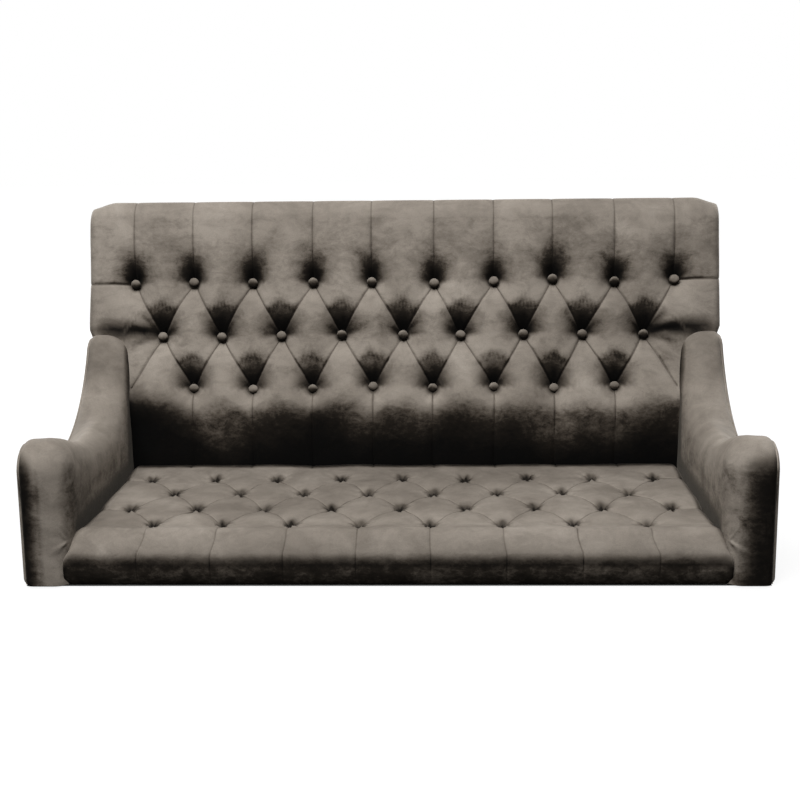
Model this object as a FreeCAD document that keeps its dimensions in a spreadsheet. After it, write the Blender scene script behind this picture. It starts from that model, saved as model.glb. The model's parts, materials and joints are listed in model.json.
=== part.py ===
import FreeCAD, Part
import math
import os
import re
from FreeCAD import Placement, Rotation, Vector

# Tufted loveseat with a raked back and sweeping arms, standing on its upholstered base.
# X runs to the right arm, Y to the back, Z up. The origin is on the floor under the middle.

doc = FreeCAD.newDocument("Loveseat")
sheet = doc.addObject("Spreadsheet::Sheet", "Sizes")

# Driving sizes in millimetres, and the lean in degrees
SIZES = {
    "overall_width": (1400, "over the outer arm panels"),
    "overall_depth": (770, "seat front to the top of the raked back"),
    "overall_height": (668, "floor to the crest of the back, with no legs on"),
    "back_lean": (13.2, "lean of the back from upright"),
    "cloth": (2, "velvet with its backing"),
    "fit_gap": (0.3, "clearance between soft pieces"),
    "dust_cloth": (1, "cloth under the base"),
    "dust_margin": (8, "dust cloth edge in from the outside"),
    "rail_thick": (28, "seat rails"),
    "rail_height": (55, "seat rails"),
    "stretcher_set": (220, "each stretcher from the middle"),
    "stretcher_drop": (8, "stretchers below the rail tops"),
    "block_leg": (95, "short sides of a corner block"),
    "block_height": (38, "corner block"),
    "leg_inset": (34, "leg bolt from the rail faces"),
    "bolt_radius": (4, "leg bolt hole"),
    "nut_radius": (5.5, "leg nut barrel"),
    "nut_barrel": (14, "leg nut barrel length"),
    "nut_flange_radius": (11, "leg nut flange"),
    "nut_flange": (1.6, "leg nut flange thickness"),
    "leg_clearance": (14, "hole in the dust cloth at each leg bolt"),
    "web_thick": (1.5, "webbing strap"),
    "web_width": (50, "long webbing strap"),
    "web_gap": (1.5, "room between a toggle and a strap"),
    "hessian": (1.5, "cloth over the webbing"),
    "tuck_gap": (3.5, "slot over the deck where the covers tuck in"),
    "front_foam": (12, "padding in front of the front rail"),
    "crease_set": (8.2, "seat end behind the foot of the button plane"),
    "firm_foam": (14.5, "firm foam under the seat pad"),
    "seat_puff": (32, "seat pads over their tufts"),
    "seat_brow": (21, "front roll over the tufts"),
    "seat_heel": (11, "crease over the tufts"),
    "seat_rise": (11, "rise of a pleat between two tufts"),
    "seat_roll": (38, "radius of the front roll"),
    "seat_pitch": (134.7, "tufts along a seat row"),
    "seat_first": (110, "first seat row from the front"),
    "seat_tail": (83, "last full seat row from the crease"),
    "seat_crease_row": (31, "row of pleats from the crease"),
    "tuft_margin": (60, "least room from a tuft to a side edge"),
    "back_pitch": (133.4, "buttons along a back row"),
    "back_first": (268, "lowest button row up the slope"),
    "back_head": (142, "highest button row below the top roll"),
    "back_tuft": (12, "tufts behind the button plane"),
    "back_crown": (26, "pads in front of the button plane"),
    "back_edge": (20, "pad edge at the top roll"),
    "back_foot": (4, "pad edge at the crease"),
    "back_rise": (14, "rise of a pleat between two buttons"),
    "back_roll": (45, "radius of the top roll"),
    "back_depth": (95, "button plane to the rear face"),
    "back_board": (4, "outer back board with its cover"),
    "post_thick": (34, "back posts and rails, front to rear"),
    "post_width": (42, "back posts across"),
    "back_rail": (60, "height of the back rails"),
    "back_rail_set": (112, "lower back rail up the slope"),
    "back_top_foam": (18, "padding over the top back rail"),
    "arm_width": (95, "padded arm across"),
    "arm_board": (5, "outer arm board with its cover"),
    "arm_frame": (31, "thickness of the arm timber"),
    "arm_pad": (20, "padding over the arm timber"),
    "arm_soft_edge": (34, "inner edge radius of the arm"),
    "bevel_share": (0.75, "bevel under the soft edge, as a share of its radius"),
    "arm_front_height": (270, "crest of the arm's rounded nose"),
    "arm_low_height": (170, "lowest point of the sweep"),
    "arm_rear_height": (384, "arm top at the back"),
    "arm_low_share": (0.335, "lowest point from the front, as a share of the depth"),
    "arm_nose": (58, "radius of the nose"),
    "arm_shoulder": (40, "radius where the sweep meets the top"),
    "arm_top_run": (78.4, "level top of the arm, shoulder to the back"),
    "tack_gap": (6, "arm tack rail to the sawn arm rail"),
    "arm_post_depth": (58, "front arm post, front to rear"),
    "tack_height": (20, "arm tack rail"),
    "tack_width": (20, "arm tack rail"),
    "welt_radius": (2.3, "welt cord on the outer arm edge"),
    "button_radius": (11.5, "covered button"),
    "button_dome": (4.5, "rise of the button's face"),
    "button_stand": (5, "button rim in front of the button plane"),
    "tie_radius": (1.2, "twine that holds a tuft"),
    "toggle_radius": (7, "toggle that the twine is tied to"),
    "toggle_thick": (1.4, "toggle"),
}
# Sizes that follow from the driving ones
DERIVED = {
    "half_width": "overall_width / 2",
    "front_y": "-overall_depth / 2",
    "rail_top": "dust_cloth + rail_height",
    "deck_top": "rail_top + 2 * web_thick + hessian",
    "tuck_top": "deck_top + tuck_gap",
    "tack_top": "tuck_top + tack_height",
    "seat_tuft": "deck_top + firm_foam + cloth",
    "frame_half": "half_width - arm_board",
    "arm_inner": "half_width - arm_width",
    "pad_half": "arm_inner - fit_gap",
    "rail_front": "front_y + cloth + front_foam",
    "rail_rear": "rail_front + rail_thick",
    "panel_face": "back_depth - back_board",
    "post_face": "panel_face - post_thick",
    "back_deck": "post_face - 2 * web_thick - hessian",
    "back_length": "back_roll + (overall_height - back_roll"
                   " - (back_edge - back_roll) * sin(back_lean)) / cos(back_lean)",
    "back_set": "overall_depth / 2 - back_length * sin(back_lean) - back_depth * cos(back_lean)",
    "seat_length": "back_set - front_y + crease_set",
    "seat_row": "(seat_length - seat_tail - seat_first) / 3",
    "back_rail_top": "back_length - cloth - back_top_foam",
    "back_start": "(deck_top + fit_gap + back_deck * sin(back_lean)) / cos(back_lean)",
    "back_row": "(back_length - back_roll - back_head - back_first) / 2",
    "arm_inset": "arm_pad + fit_gap",
    "arm_rail_depth": "arm_low_height - arm_inset - tack_top - tack_gap",
    "arm_low_set": "arm_low_share * overall_depth",
    "arm_rise": "arm_rear_height - arm_low_height",
    "arm_rear_y": "back_set + back_deck / cos(back_lean) + arm_rear_height * tan(back_lean)",
    "arm_run": "arm_rear_y - arm_top_run - front_y - arm_low_set",
    "arm_sweep": "(arm_run * arm_run + arm_rise * arm_rise) / (2 * arm_rise) - arm_shoulder",
}


def fill_sheet():
    """Write every size and every derived size to the sheet under its own alias."""
    row = 0
    for alias, (value, note) in SIZES.items():
        row += 1
        sheet.set(f"A{row}", note)
        sheet.set(f"B{row}", str(value))
        sheet.setAlias(f"B{row}", alias)
    for alias, formula in DERIVED.items():
        row += 1
        sheet.set(f"A{row}", "follows from the sizes above")
        sheet.set(f"B{row}", "=" + formula)
        sheet.setAlias(f"B{row}", alias)
    doc.recompute()


class Sizes:
    """The sheet's values, read by alias."""

    def __getattr__(self, alias):
        return float(sheet.get(alias))


fill_sheet()
size = Sizes()
LEAN = math.radians(size.back_lean)
ALIASES = set(SIZES) | set(DERIVED)


def bind(obj, **formulas):
    """Bind properties to formulas written with the sheet's aliases."""
    for name, formula in formulas.items():
        full = re.sub(r"[a-z_]+", lambda word: cell(word.group()), formula)
        obj.setExpression(name.replace("__", "."), full)
    return obj


def cell(word):
    """The sheet's cell for an alias, or the word itself."""
    return "Sizes." + word if word in ALIASES else word


def box(label, length, width, height, x, y, z):
    """A straight plank or sheet with its low corner at x, y, z."""
    obj = doc.addObject("Part::Box", label)
    bind(obj, Length=length, Width=width, Height=height)
    return bind(obj, Placement__Base__x=x, Placement__Base__y=y, Placement__Base__z=z)


def raked_box(label, length, thick, height, x, face, start):
    """A plank in the leaning back: its front is `face` behind the button plane, up from `start`."""
    obj = doc.addObject("Part::Box", label)
    obj.Placement = Placement(Vector(), Rotation(Vector(1, 0, 0), -size.back_lean))
    bind(obj, Length=length, Width=thick, Height=height, Placement__Rotation__Angle="-(back_lean)")
    return bind(
        obj,
        Placement__Base__x=x,
        Placement__Base__y=f"back_set + ({face}) * cos(back_lean) + ({start}) * sin(back_lean)",
        Placement__Base__z=f"({start}) * cos(back_lean) - ({face}) * sin(back_lean)",
    )


def cut(label, base, tool):
    obj = doc.addObject("Part::Cut", label)
    obj.Base = base
    obj.Tool = tool
    return obj


def feature(label, shape):
    """A piece whose form no single primitive has."""
    obj = doc.addObject("Part::Feature", label)
    obj.Shape = shape
    return obj


def group(label, shapes):
    """Identical pieces that share a node as separate solids."""
    return feature(label, Part.makeCompound(shapes))


def raked(x, up, out):
    """A point of the back: `up` along the slope, `out` in front of the button plane."""
    y = size.back_set + up * math.sin(LEAN) - out * math.cos(LEAN)
    return Vector(x, y, up * math.cos(LEAN) + out * math.sin(LEAN))


def raked_y(z, depth):
    """Where the plane `depth` behind the button plane stands at height z."""
    up = (z + depth * math.sin(LEAN)) / math.cos(LEAN)
    return raked(0, up, -depth).y


# Outlines seen from the side, as lines and arcs in (y, z)


def arc(centre, radius, start, end):
    """An arc between two directions, given in degrees from the +Y axis."""
    angles = [math.radians(a) for a in (start, (start + end) / 2, end)]
    points = [Vector(centre[0] + radius * math.cos(a), centre[1] + radius * math.sin(a)) for a in angles]
    return Part.Arc(*points)


def line(start, end):
    return Part.LineSegment(Vector(*start), Vector(*end))


def polygon(points):
    return [line(a, b) for a, b in zip(points, points[1:] + points[:1])]


class ArmCurve:
    """The arm's profile: a rounded nose, a saddle, a rising sweep and a shoulder, all tangent."""

    def __init__(self):
        self.nose = (size.front_y + size.arm_nose, size.arm_front_height - size.arm_nose)
        run = size.arm_low_set - size.arm_nose
        drop = self.nose[1] - size.arm_low_height
        self.saddle_radius = (run**2 + drop**2 - size.arm_nose**2) / (2 * (size.arm_nose + drop))
        self.low_y = size.front_y + size.arm_low_set
        self.saddle = (self.low_y, size.arm_low_height + self.saddle_radius)
        self.sweep = (self.low_y, size.arm_low_height + size.arm_sweep)
        self.nose_end = math.degrees(math.atan2(self.saddle[1] - self.nose[1], run))
        self.shoulder = (self.low_y + size.arm_run, size.arm_rear_height - size.arm_shoulder)
        reach = size.arm_sweep + size.arm_shoulder
        self.steep = math.degrees(math.asin(size.arm_run / reach))

    def crest(self, inset):
        """The curve from the nose's foot to the shoulder's top, moved in by inset."""
        return [
            arc(self.nose, size.arm_nose - inset, 180, self.nose_end),
            arc(self.saddle, self.saddle_radius + inset, 180 + self.nose_end, 270),
            arc(self.sweep, size.arm_sweep + inset, 270, 270 + self.steep),
            arc(self.shoulder, size.arm_shoulder - inset, 90 + self.steep, 90),
        ]

    def outline(self, inset, rear_depth, bottom):
        """The closed profile down to bottom, ending on a raked plane behind."""
        top = size.arm_rear_height - inset
        front = size.front_y + inset
        corners = [
            (self.shoulder[0], top),
            (raked_y(top, rear_depth), top),
            (raked_y(bottom, rear_depth), bottom),
            (front, bottom),
            (front, self.nose[1]),
        ]
        edges = [line(a, b) for a, b in zip(corners, corners[1:])]
        return self.crest(inset) + edges

    def under_rail(self, inset):
        """Height of the sawn rail's lower edge where it meets the front post, and its y."""
        y = size.front_y + size.arm_inset + size.arm_post_depth
        radius = self.saddle_radius + inset
        return y, self.saddle[1] - math.sqrt(radius**2 - (y - self.low_y) ** 2)


curve = ArmCurve()
FRAME_INSET = size.arm_inset
RAIL_UNDER = FRAME_INSET + size.arm_rail_depth


def padded_body(label, plane, edges, length, **place):
    """A body whose sketched outline is padded by a length from the sheet."""
    body = doc.addObject("PartDesign::Body", label)
    sketch = body.newObject("Sketcher::SketchObject", label + "_outline")
    support = next(p for p in body.Origin.OriginFeatures if p.Role == plane)
    sketch.AttachmentSupport = [(support, "")]
    sketch.MapMode = "FlatFace"
    for edge in edges:
        sketch.addGeometry(edge)
    pad = body.newObject("PartDesign::Pad", label + "_pad")
    pad.Profile = sketch
    bind(pad, Length=length)
    bind(body, **place)
    return body


def side_plank(label, edges, thick, x):
    """A plank sawn to a side outline, from x to x + thick."""
    return padded_body(label, "YZ_Plane", edges, thick, Placement__Base__x=x)


def soften(body, side, radius, is_round):
    """Round or bevel the edges that an arm's inner face shares with its front, its curve and its top."""
    doc.recompute()
    pad = body.Tip
    box_of_pad = pad.Shape.BoundBox
    inner_x = box_of_pad.XMin if side > 0 else box_of_pad.XMax
    names = []
    for number, edge in enumerate(pad.Shape.Edges, start=1):
        middle = edge.valueAt((edge.FirstParameter + edge.LastParameter) / 2)
        is_base = edge.BoundBox.ZMax < box_of_pad.ZMin + size.cloth
        is_rear = middle.y > curve.shoulder[0] and edge.BoundBox.ZLength > size.cloth
        if abs(middle.x - inner_x) < size.fit_gap and not is_base and not is_rear:
            names.append(f"Edge{number}")
    edge_kind = "PartDesign::Fillet" if is_round else "PartDesign::Chamfer"
    soft = body.newObject(edge_kind, body.Label + "_soft_edge")
    soft.Base = (pad, names)
    if is_round:
        bind(soft, Radius=radius)
    else:
        bind(soft, Size=f"({radius}) * bevel_share")
    return body


def span_x(side, inner, outer):
    """The low x of a plank between two distances from the middle, on the right (1) or left (-1)."""
    return inner if side > 0 else f"-({outer})"


# Tufted pads


PAD_STEPS = 3


def soft_line(point, crown, height_of):
    """Lines from a pad's edge up to its crown, on an arc that is level at the crown."""
    flat = math.dist((point.x, point.y), (crown.x, crown.y))
    drop = crown.z - point.z
    radius = (flat**2 + drop**2) / (2 * drop)
    turn = math.asin(min(1, flat / radius))
    corners = []
    for step in range(PAD_STEPS + 1):
        angle = turn * (1 - step / PAD_STEPS)
        corner = crown + (point - crown) * (radius * math.sin(angle) / flat)
        corner.z = crown.z - radius * (1 - math.cos(angle))
        corners.append(height_of(corner))
    return corners


def facet(*corners):
    return Part.Face(Part.makePolygon(corners + corners[:1]))


def strip(left, right):
    """The flat facets between two soft lines that meet at the crown."""
    facets = []
    for step in range(PAD_STEPS):
        facets.append(facet(left[step], right[step], right[step + 1]))
        if step + 1 < PAD_STEPS:
            facets.append(facet(left[step], right[step + 1], left[step + 1]))
    return facets


class Tufting:
    """A quilt of pads between tufts, in its own plane: x across, y along, z out of the pad."""

    def __init__(self, rows, half, low, high, heights, side_pleats, place):
        self.rows = rows
        self.half = half
        self.low = low
        self.high = high
        self.tuft, self.crown, self.rise, self.low_edge, self.high_edge = heights
        self.side_pleats = side_pleats
        self.place = place

    def edge_point(self, x, y):
        share = (y - self.low) / (self.high - self.low)
        return Vector(x, y, self.low_edge + (self.high_edge - self.low_edge) * share)

    def tuft_point(self, row, index):
        y, xs = self.rows[row]
        return Vector(xs[index], y, self.tuft)

    def between(self, row, start):
        """The tuft of a row that stands between a tuft of the next row and its neighbour."""
        target = (start[0] + start[1]) / 2
        y, xs = self.rows[row]
        near = min(xs, key=lambda x: abs(x - target))
        return Vector(near, y, self.tuft)

    def cells(self):
        """Corner points of every pad, in order round it."""
        last = len(self.rows) - 1
        found = []
        for row, (y, xs) in enumerate(self.rows):
            for pair in zip(xs, xs[1:]):
                left, right = (Vector(x, y, self.tuft) for x in pair)
                if row == 0:
                    below = [self.edge_point(x, self.low) for x in pair]
                else:
                    below = [self.between(row - 1, pair)]
                if row == last:
                    above = [self.edge_point(x, self.high) for x in reversed(pair)]
                else:
                    above = [self.between(row + 1, pair)]
                found.append([left] + below + [right] + above)
        for side in (-1, 1):
            found += self.side_cells(side)
        return found

    def side_cells(self, side):
        """Pads between the outermost tufts and one side edge."""
        index = 0 if side < 0 else -1
        last = len(self.rows) - 1
        chain = [self.tuft_point(row, index) for row in range(last + 1)]
        chain.insert(0, self.edge_point(chain[0].x, self.low))
        chain.append(self.edge_point(chain[-1].x, self.high))
        stops = [0] + [row + 1 for row in self.side_pleats] + [len(chain) - 1]
        cells = []
        for start, end in zip(stops, stops[1:]):
            part = chain[start : end + 1]
            outer = [self.edge_point(side * self.half, part[n].y) for n in (-1, 0)]
            cells.append(part + outer)
        return cells

    def pad(self, corners):
        """One pad: strips of facets between lines that run from its pleats up to its crown."""
        ring = []
        for start, end in zip(corners, corners[1:] + corners[:1]):
            ring.append(start)
            is_pleat = self.tuft in (start.z, end.z)
            if is_pleat and self.rise:
                ring.append((start + end) * 0.5 + Vector(0, 0, self.rise))
        crown = sum(corners, Vector()) * (1 / len(corners))
        crown.z = self.crown
        ribs = [soft_line(point, crown, self.place) for point in ring]
        pairs = zip(ribs, ribs[1:] + ribs[:1])
        return [face for left, right in pairs for face in strip(left, right)]

    def faces(self):
        return [face for corners in self.cells() for face in self.pad(corners)]

    def end_xs(self, row):
        return [-self.half] + list(self.rows[row][1]) + [self.half]

    def side_ys(self):
        return [self.low] + [self.rows[row][0] for row in self.side_pleats] + [self.high]

    def solid(self, base, roll, roll_at_high):
        """The closed block: pads on top, a roll along one end, flat sides and a flat base."""
        if roll_at_high:
            roll_y, plain_y, roll_row, plain_row, way = self.high, self.low, -1, 0, 1
        else:
            roll_y, plain_y, roll_row, plain_row, way = self.low, self.high, 0, -1, -1
        top = self.edge_point(0, roll_y).z
        end_y = roll_y + way * roll
        bend = roll * (1 - math.cos(math.pi / 4))

        def roll_arc(x):
            points = ((roll_y, top), (end_y - way * bend, top - bend), (end_y, top - roll))
            return Part.Arc(*(self.place(Vector(x, y, z)) for y, z in points)).toShape()

        def flat(points):
            wire = Part.makePolygon([self.place(p) for p in points + points[:1]])
            return Part.Face(wire)

        faces = self.faces()
        xs = self.end_xs(roll_row)
        across = self.place(Vector(1, 0, 0)) - self.place(Vector())
        for start, end in zip(xs, xs[1:]):
            faces.append(roll_arc(start).extrude(across * (end - start)))
        low_corners = [Vector(self.half, end_y, base), Vector(-self.half, end_y, base)]
        faces.append(flat([Vector(x, end_y, top - roll) for x in xs] + low_corners))
        plain = [self.edge_point(x, plain_y) for x in self.end_xs(plain_row)]
        plain_low = [Vector(self.half, plain_y, base), Vector(-self.half, plain_y, base)]
        faces.append(flat(plain + plain_low))
        faces.append(flat(low_corners + [plain_low[1], plain_low[0]]))
        for x in (-self.half, self.half):
            border = [self.edge_point(x, y) for y in self.side_ys()]
            if not roll_at_high:
                border.reverse()
            rest = [Vector(x, end_y, top - roll), Vector(x, end_y, base), Vector(x, plain_y, base)]
            chain = [self.place(p) for p in border]
            loop = [self.place(p) for p in rest] + [chain[0]]
            edges = Part.makePolygon(chain).Edges + [roll_arc(x)] + Part.makePolygon(loop).Edges
            faces.append(Part.Face(Part.Wire(edges)))
        shell = Part.Shell(faces)
        shell.sewShape()
        solid = Part.Solid(shell)
        if solid.Volume < 0:
            solid.reverse()
        return solid


def row_of(count, pitch):
    """The x places of a row of tufts about the middle."""
    return [(n - (count - 1) / 2) * pitch for n in range(count)]


def most_tufts(half, pitch):
    """How many tufts fit in a row that leaves its margin at both side edges."""
    return int(2 * (half - size.tuft_margin) / pitch) + 1


def seat_rows():
    """Four staggered rows and a row of pleats at the crease, front to back."""
    wide = row_of(most_tufts(size.pad_half, size.seat_pitch), size.seat_pitch)
    narrow = row_of(len(wide) - 1, size.seat_pitch)
    places = [size.seat_first + number * size.seat_row for number in range(4)]
    places.append(size.seat_length - size.seat_crease_row)
    return [
        (size.front_y + place, wide if number % 2 else narrow)
        for number, place in enumerate(places)
    ]


def back_rows():
    """Three rows of buttons, each a button wider than the one below."""
    widest = most_tufts(size.half_width, size.back_pitch)
    return [
        (size.back_first + number * size.back_row, row_of(widest - 2 + number, size.back_pitch))
        for number in range(3)
    ]


def seat_block():
    """The seat's tufted block, with its roll along the front."""
    tuft = size.seat_tuft
    heights = (tuft, tuft + size.seat_puff, size.seat_rise, tuft + size.seat_brow, tuft + size.seat_heel)
    rows = seat_rows()
    quilt = Tufting(
        rows,
        size.pad_half,
        size.front_y + size.seat_roll,
        size.front_y + size.seat_length,
        heights,
        range(1, len(rows), 2),
        lambda point: point,
    )
    return quilt.solid(size.dust_cloth, size.seat_roll, roll_at_high=False)


def back_block():
    """The back's tufted block, with its roll along the top."""
    heights = (-size.back_tuft, size.back_crown, size.back_rise, size.back_foot, size.back_edge)
    rows = back_rows()
    quilt = Tufting(
        rows,
        size.half_width,
        size.back_start,
        size.back_length - size.back_roll,
        heights,
        range(1, len(rows)),
        lambda point: raked(point.x, point.y, point.z),
    )
    return quilt.solid(-size.panel_face, size.back_roll, roll_at_high=True)


# Seat frame


def raked_end(front, bottom, top):
    """A plank outline from a straight front to the raked face of the back frame."""
    depth = size.post_face
    return polygon([
        (front, bottom),
        (raked_y(bottom, depth), bottom),
        (raked_y(top, depth), top),
        (front, top),
    ])


def raked_slab(near, far, bottom, top):
    """A plank outline between two raked planes, level at its foot and its head."""
    return polygon([
        (raked_y(bottom, near), bottom),
        (raked_y(bottom, far), bottom),
        (raked_y(top, far), top),
        (raked_y(top, near), top),
    ])


def seat_frame():
    parts = [
        box("front_seat_rail", "2 * frame_half", "rail_thick", "rail_height",
            "-frame_half", "rail_front", "dust_cloth"),
        side_plank("rear_seat_rail",
                   raked_slab(size.post_face, size.panel_face, size.dust_cloth, size.rail_top),
                   "2 * (frame_half - post_width)", "post_width - frame_half"),
    ]
    for side, name in ((1, "right"), (-1, "left")):
        x = span_x(side, "frame_half - rail_thick", "frame_half")
        outline = raked_end(size.rail_rear, size.dust_cloth, size.rail_top)
        parts.append(side_plank(name + "_seat_rail", outline, "rail_thick", x))
    low = size.dust_cloth + size.stretcher_drop
    high = size.rail_top - size.stretcher_drop
    stretchers = []
    for side in (1, -1):
        x = span_x(side, "stretcher_set - rail_thick / 2", "stretcher_set + rail_thick / 2")
        outline = raked_end(size.rail_rear, low, high)
        stretchers.append(side_plank("stretcher", outline, "rail_thick", x))
    doc.recompute()
    parts.append(group("seat_stretchers", [s.Shape.copy() for s in stretchers]))
    return parts


def leg_places():
    """Where the four leg bolts go: (x, y, way to the outside in x, way in y)."""
    x = size.frame_half - size.rail_thick - size.leg_inset
    front = size.rail_rear + size.leg_inset
    rear = raked_y(size.dust_cloth, size.post_face) - size.leg_inset
    return [(sx * x, y, sx, sy) for sx in (1, -1) for y, sy in ((front, -1), (rear, 1))]


def corner_block(x, y, way_x, way_y):
    """A three-sided block in a corner of the seat frame, bored for a leg bolt and its nut."""
    corner = Vector(x + way_x * size.leg_inset, y + way_y * size.leg_inset, size.dust_cloth)
    along_x = corner - Vector(way_x * size.block_leg, 0, 0)
    along_y = corner - Vector(0, way_y * size.block_leg, 0)
    face = Part.Face(Part.makePolygon([corner, along_x, along_y, corner]))
    block = face.extrude(Vector(0, 0, size.block_height))
    foot = Vector(x, y, size.dust_cloth)
    barrel = size.nut_barrel + size.fit_gap
    block = block.cut(Part.makeCylinder(size.bolt_radius, size.block_height, foot))
    seat = foot + Vector(0, 0, size.block_height - barrel)
    return block.cut(Part.makeCylinder(size.nut_radius + size.fit_gap, barrel, seat))


def leg_nut(x, y):
    """A flanged nut let into the top of a corner block."""
    top = Vector(x, y, size.dust_cloth + size.block_height)
    flange = Part.makeCylinder(size.nut_flange_radius, size.nut_flange, top)
    foot = top - Vector(0, 0, size.nut_barrel)
    barrel = Part.makeCylinder(size.nut_radius, size.nut_barrel, foot)
    bore = Part.makeCylinder(size.bolt_radius, size.nut_barrel + size.nut_flange, foot)
    return flange.fuse(barrel).removeSplitter().cut(bore)


def base_pieces():
    """Corner blocks, leg nuts and the dust cloth with a hole at each leg bolt."""
    places = leg_places()
    rear = raked_y(size.dust_cloth, size.back_depth) - size.dust_margin
    side = size.half_width - size.dust_margin
    front = size.front_y + size.dust_margin
    edges = polygon([(-side, front), (side, front), (side, rear), (-side, rear)])
    for x, y, _, _ in places:
        edges.append(Part.Circle(Vector(x, y, 0), Vector(0, 0, 1), size.leg_clearance))
    return [
        group("corner_blocks", [corner_block(*place) for place in places]),
        group("leg_nuts", [leg_nut(x, y) for x, y, _, _ in places]),
        padded_body("dust_cover", "XY_Plane", edges, "dust_cloth"),
    ]


# Back frame


def back_frame():
    parts = []
    top = raked(0, size.back_rail_top, -size.post_face)
    top_rear = raked(0, size.back_rail_top, -size.panel_face)
    post = polygon([
        (raked_y(size.dust_cloth, size.post_face), size.dust_cloth),
        (raked_y(size.dust_cloth, size.panel_face), size.dust_cloth),
        (top_rear.y, top_rear.z),
        (top.y, top.z),
    ])
    for side, name in ((1, "right"), (-1, "left")):
        x = span_x(side, "frame_half - post_width", "frame_half")
        parts.append(side_plank(name + "_back_post", post, "post_width", x))
    between = "2 * (frame_half - post_width)"
    start_x = "post_width - frame_half"
    parts.append(raked_box("top_back_rail", between, "post_thick", "back_rail",
                           start_x, "post_face", "back_rail_top - back_rail"))
    parts.append(raked_box("lower_back_rail", between, "post_thick", "back_rail",
                           start_x, "post_face", "back_rail_set"))
    uprights = []
    for side in (1, -1):
        x = span_x(side, "stretcher_set - post_width / 2", "stretcher_set + post_width / 2")
        uprights.append(raked_box("upright", "post_width", "post_thick",
                                  "back_rail_top - 2 * back_rail - back_rail_set",
                                  x, "post_face", "back_rail_set + back_rail"))
    doc.recompute()
    parts.append(group("back_uprights", [u.Shape.copy() for u in uprights]))
    return parts


def outer_back():
    """The flat board that closes the back, covered in the same velvet."""
    top = raked(0, size.back_length, -size.panel_face)
    top_rear = raked(0, size.back_length, -size.back_depth)
    outline = polygon([
        (raked_y(size.dust_cloth, size.panel_face), size.dust_cloth),
        (raked_y(size.dust_cloth, size.back_depth), size.dust_cloth),
        (top_rear.y, top_rear.z),
        (top.y, top.z),
    ])
    return side_plank("outer_back_panel", outline, "overall_width", "-half_width")


# Webbing and hessian


def strap_columns(pitch, half):
    """Strap middles that lie between the columns of tufts, so that no twine meets a strap."""
    count = int((half - size.tuft_margin) / pitch)
    return [side * (n + 0.75) * pitch for n in range(count) for side in (1, -1)]


def strap_width(pitch):
    """A strap that leaves room for the toggles on both sides."""
    return pitch / 2 - 2 * (size.toggle_radius + size.web_gap)


def seat_webbing():
    rows = seat_rows()
    long_straps = []
    for (front, _), (rear, _) in zip(rows[:3], rows[1:4]):
        corner = Vector(-size.frame_half, (front + rear - size.web_width) / 2, size.rail_top)
        long_straps.append(Part.makeBox(2 * size.frame_half, size.web_width, size.web_thick, corner))
    cross_straps = []
    level = size.rail_top + size.web_thick
    length = raked_y(size.rail_top, size.post_face) + size.post_thick / 2 - size.rail_front
    width = strap_width(size.seat_pitch)
    for x in strap_columns(size.seat_pitch, size.pad_half):
        corner = Vector(x - width / 2, size.rail_front, level)
        cross_straps.append(Part.makeBox(width, length, size.web_thick, corner))
    return [group("seat_webbing_long", long_straps), group("seat_webbing_cross", cross_straps)]


def tilt(shape, x, up, out):
    """Place a shape made along +Z so that it points out of the back at a point of its slope."""
    moved = shape.copy()
    moved.Placement = Placement(raked(x, up, out), Rotation(Vector(1, 0, 0), 90 - size.back_lean))
    return moved


def back_webbing():
    rows = back_rows()
    width = strap_width(size.back_pitch)
    strap = Part.makeBox(width, size.back_rail_top - size.back_rail_set, size.web_thick)
    uprights = []
    for x in strap_columns(size.back_pitch, size.pad_half):
        uprights.append(tilt(strap, x - width / 2, size.back_rail_set, -size.post_face))
    reach = size.frame_half - (size.post_width + size.arm_frame) / 2
    strap = Part.makeBox(2 * reach, size.web_width, size.web_thick)
    cross = []
    for (low, _), (high, _) in zip(rows, rows[1:]):
        up = (low + high - size.web_width) / 2
        cross.append(tilt(strap, -reach, up, size.web_thick - size.post_face))
    return [group("back_webbing_upright", uprights), group("back_webbing_cross", cross)]


# Tufts, twines and buttons


def square_pin(half_side, low, high):
    """A small square pin along Z."""
    corner = Vector(-half_side, -half_side, low)
    return Part.makeBox(2 * half_side, 2 * half_side, high - low, corner)


def twine(top, deck):
    """A tuft's twine along Z from top down through the deck to its toggle."""
    toggle_top = deck - size.fit_gap
    stem = square_pin(size.tie_radius, toggle_top, top)
    toggle = square_pin(size.toggle_radius, toggle_top - size.toggle_thick, toggle_top)
    return stem.fuse(toggle).removeSplitter()


def bore(top, bottom):
    """The way that a twine takes through foam and hessian."""
    return square_pin(size.tie_radius + size.fit_gap, bottom, top)


def seat_tufts(shape):
    return [shape.translated(Vector(x, y, 0)) for y, xs in seat_rows() for x in xs]


def back_tufts(shape):
    return [tilt(shape, x, up, 0) for up, xs in back_rows() for x in xs]


BUTTON_SIDES = 12


def ring(radius, z, sides):
    """A regular polygon about the Z axis."""
    turns = [2 * math.pi * n / sides for n in range(sides + 1)]
    return Part.makePolygon([Vector(radius * math.cos(t), radius * math.sin(t), z) for t in turns])


def covered_button():
    """A domed button with a tapered back that sinks into its tuft."""
    tip = Vector(0, 0, 2 * size.fit_gap - size.back_tuft)
    crest = Vector(0, 0, size.button_stand + size.button_dome)
    radius = (size.button_radius**2 + size.button_dome**2) / (2 * size.button_dome)
    half_turn = math.asin(size.button_radius / radius) / 2
    bow = ring(radius * math.sin(half_turn), crest.z - radius * (1 - math.cos(half_turn)), BUTTON_SIDES)
    rim = ring(size.button_radius, size.button_stand, BUTTON_SIDES)
    return Part.makeLoft([Part.Vertex(tip), rim, bow, Part.Vertex(crest)], True, True)


# Padding and covers


def below_tuck(name, from_y):
    """The room under the tuck line behind the front padding, which the frame fills."""
    return box(name, "2 * overall_width", "2 * overall_depth", "tuck_top + overall_height",
               "-overall_width", from_y, "-overall_height")


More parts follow.
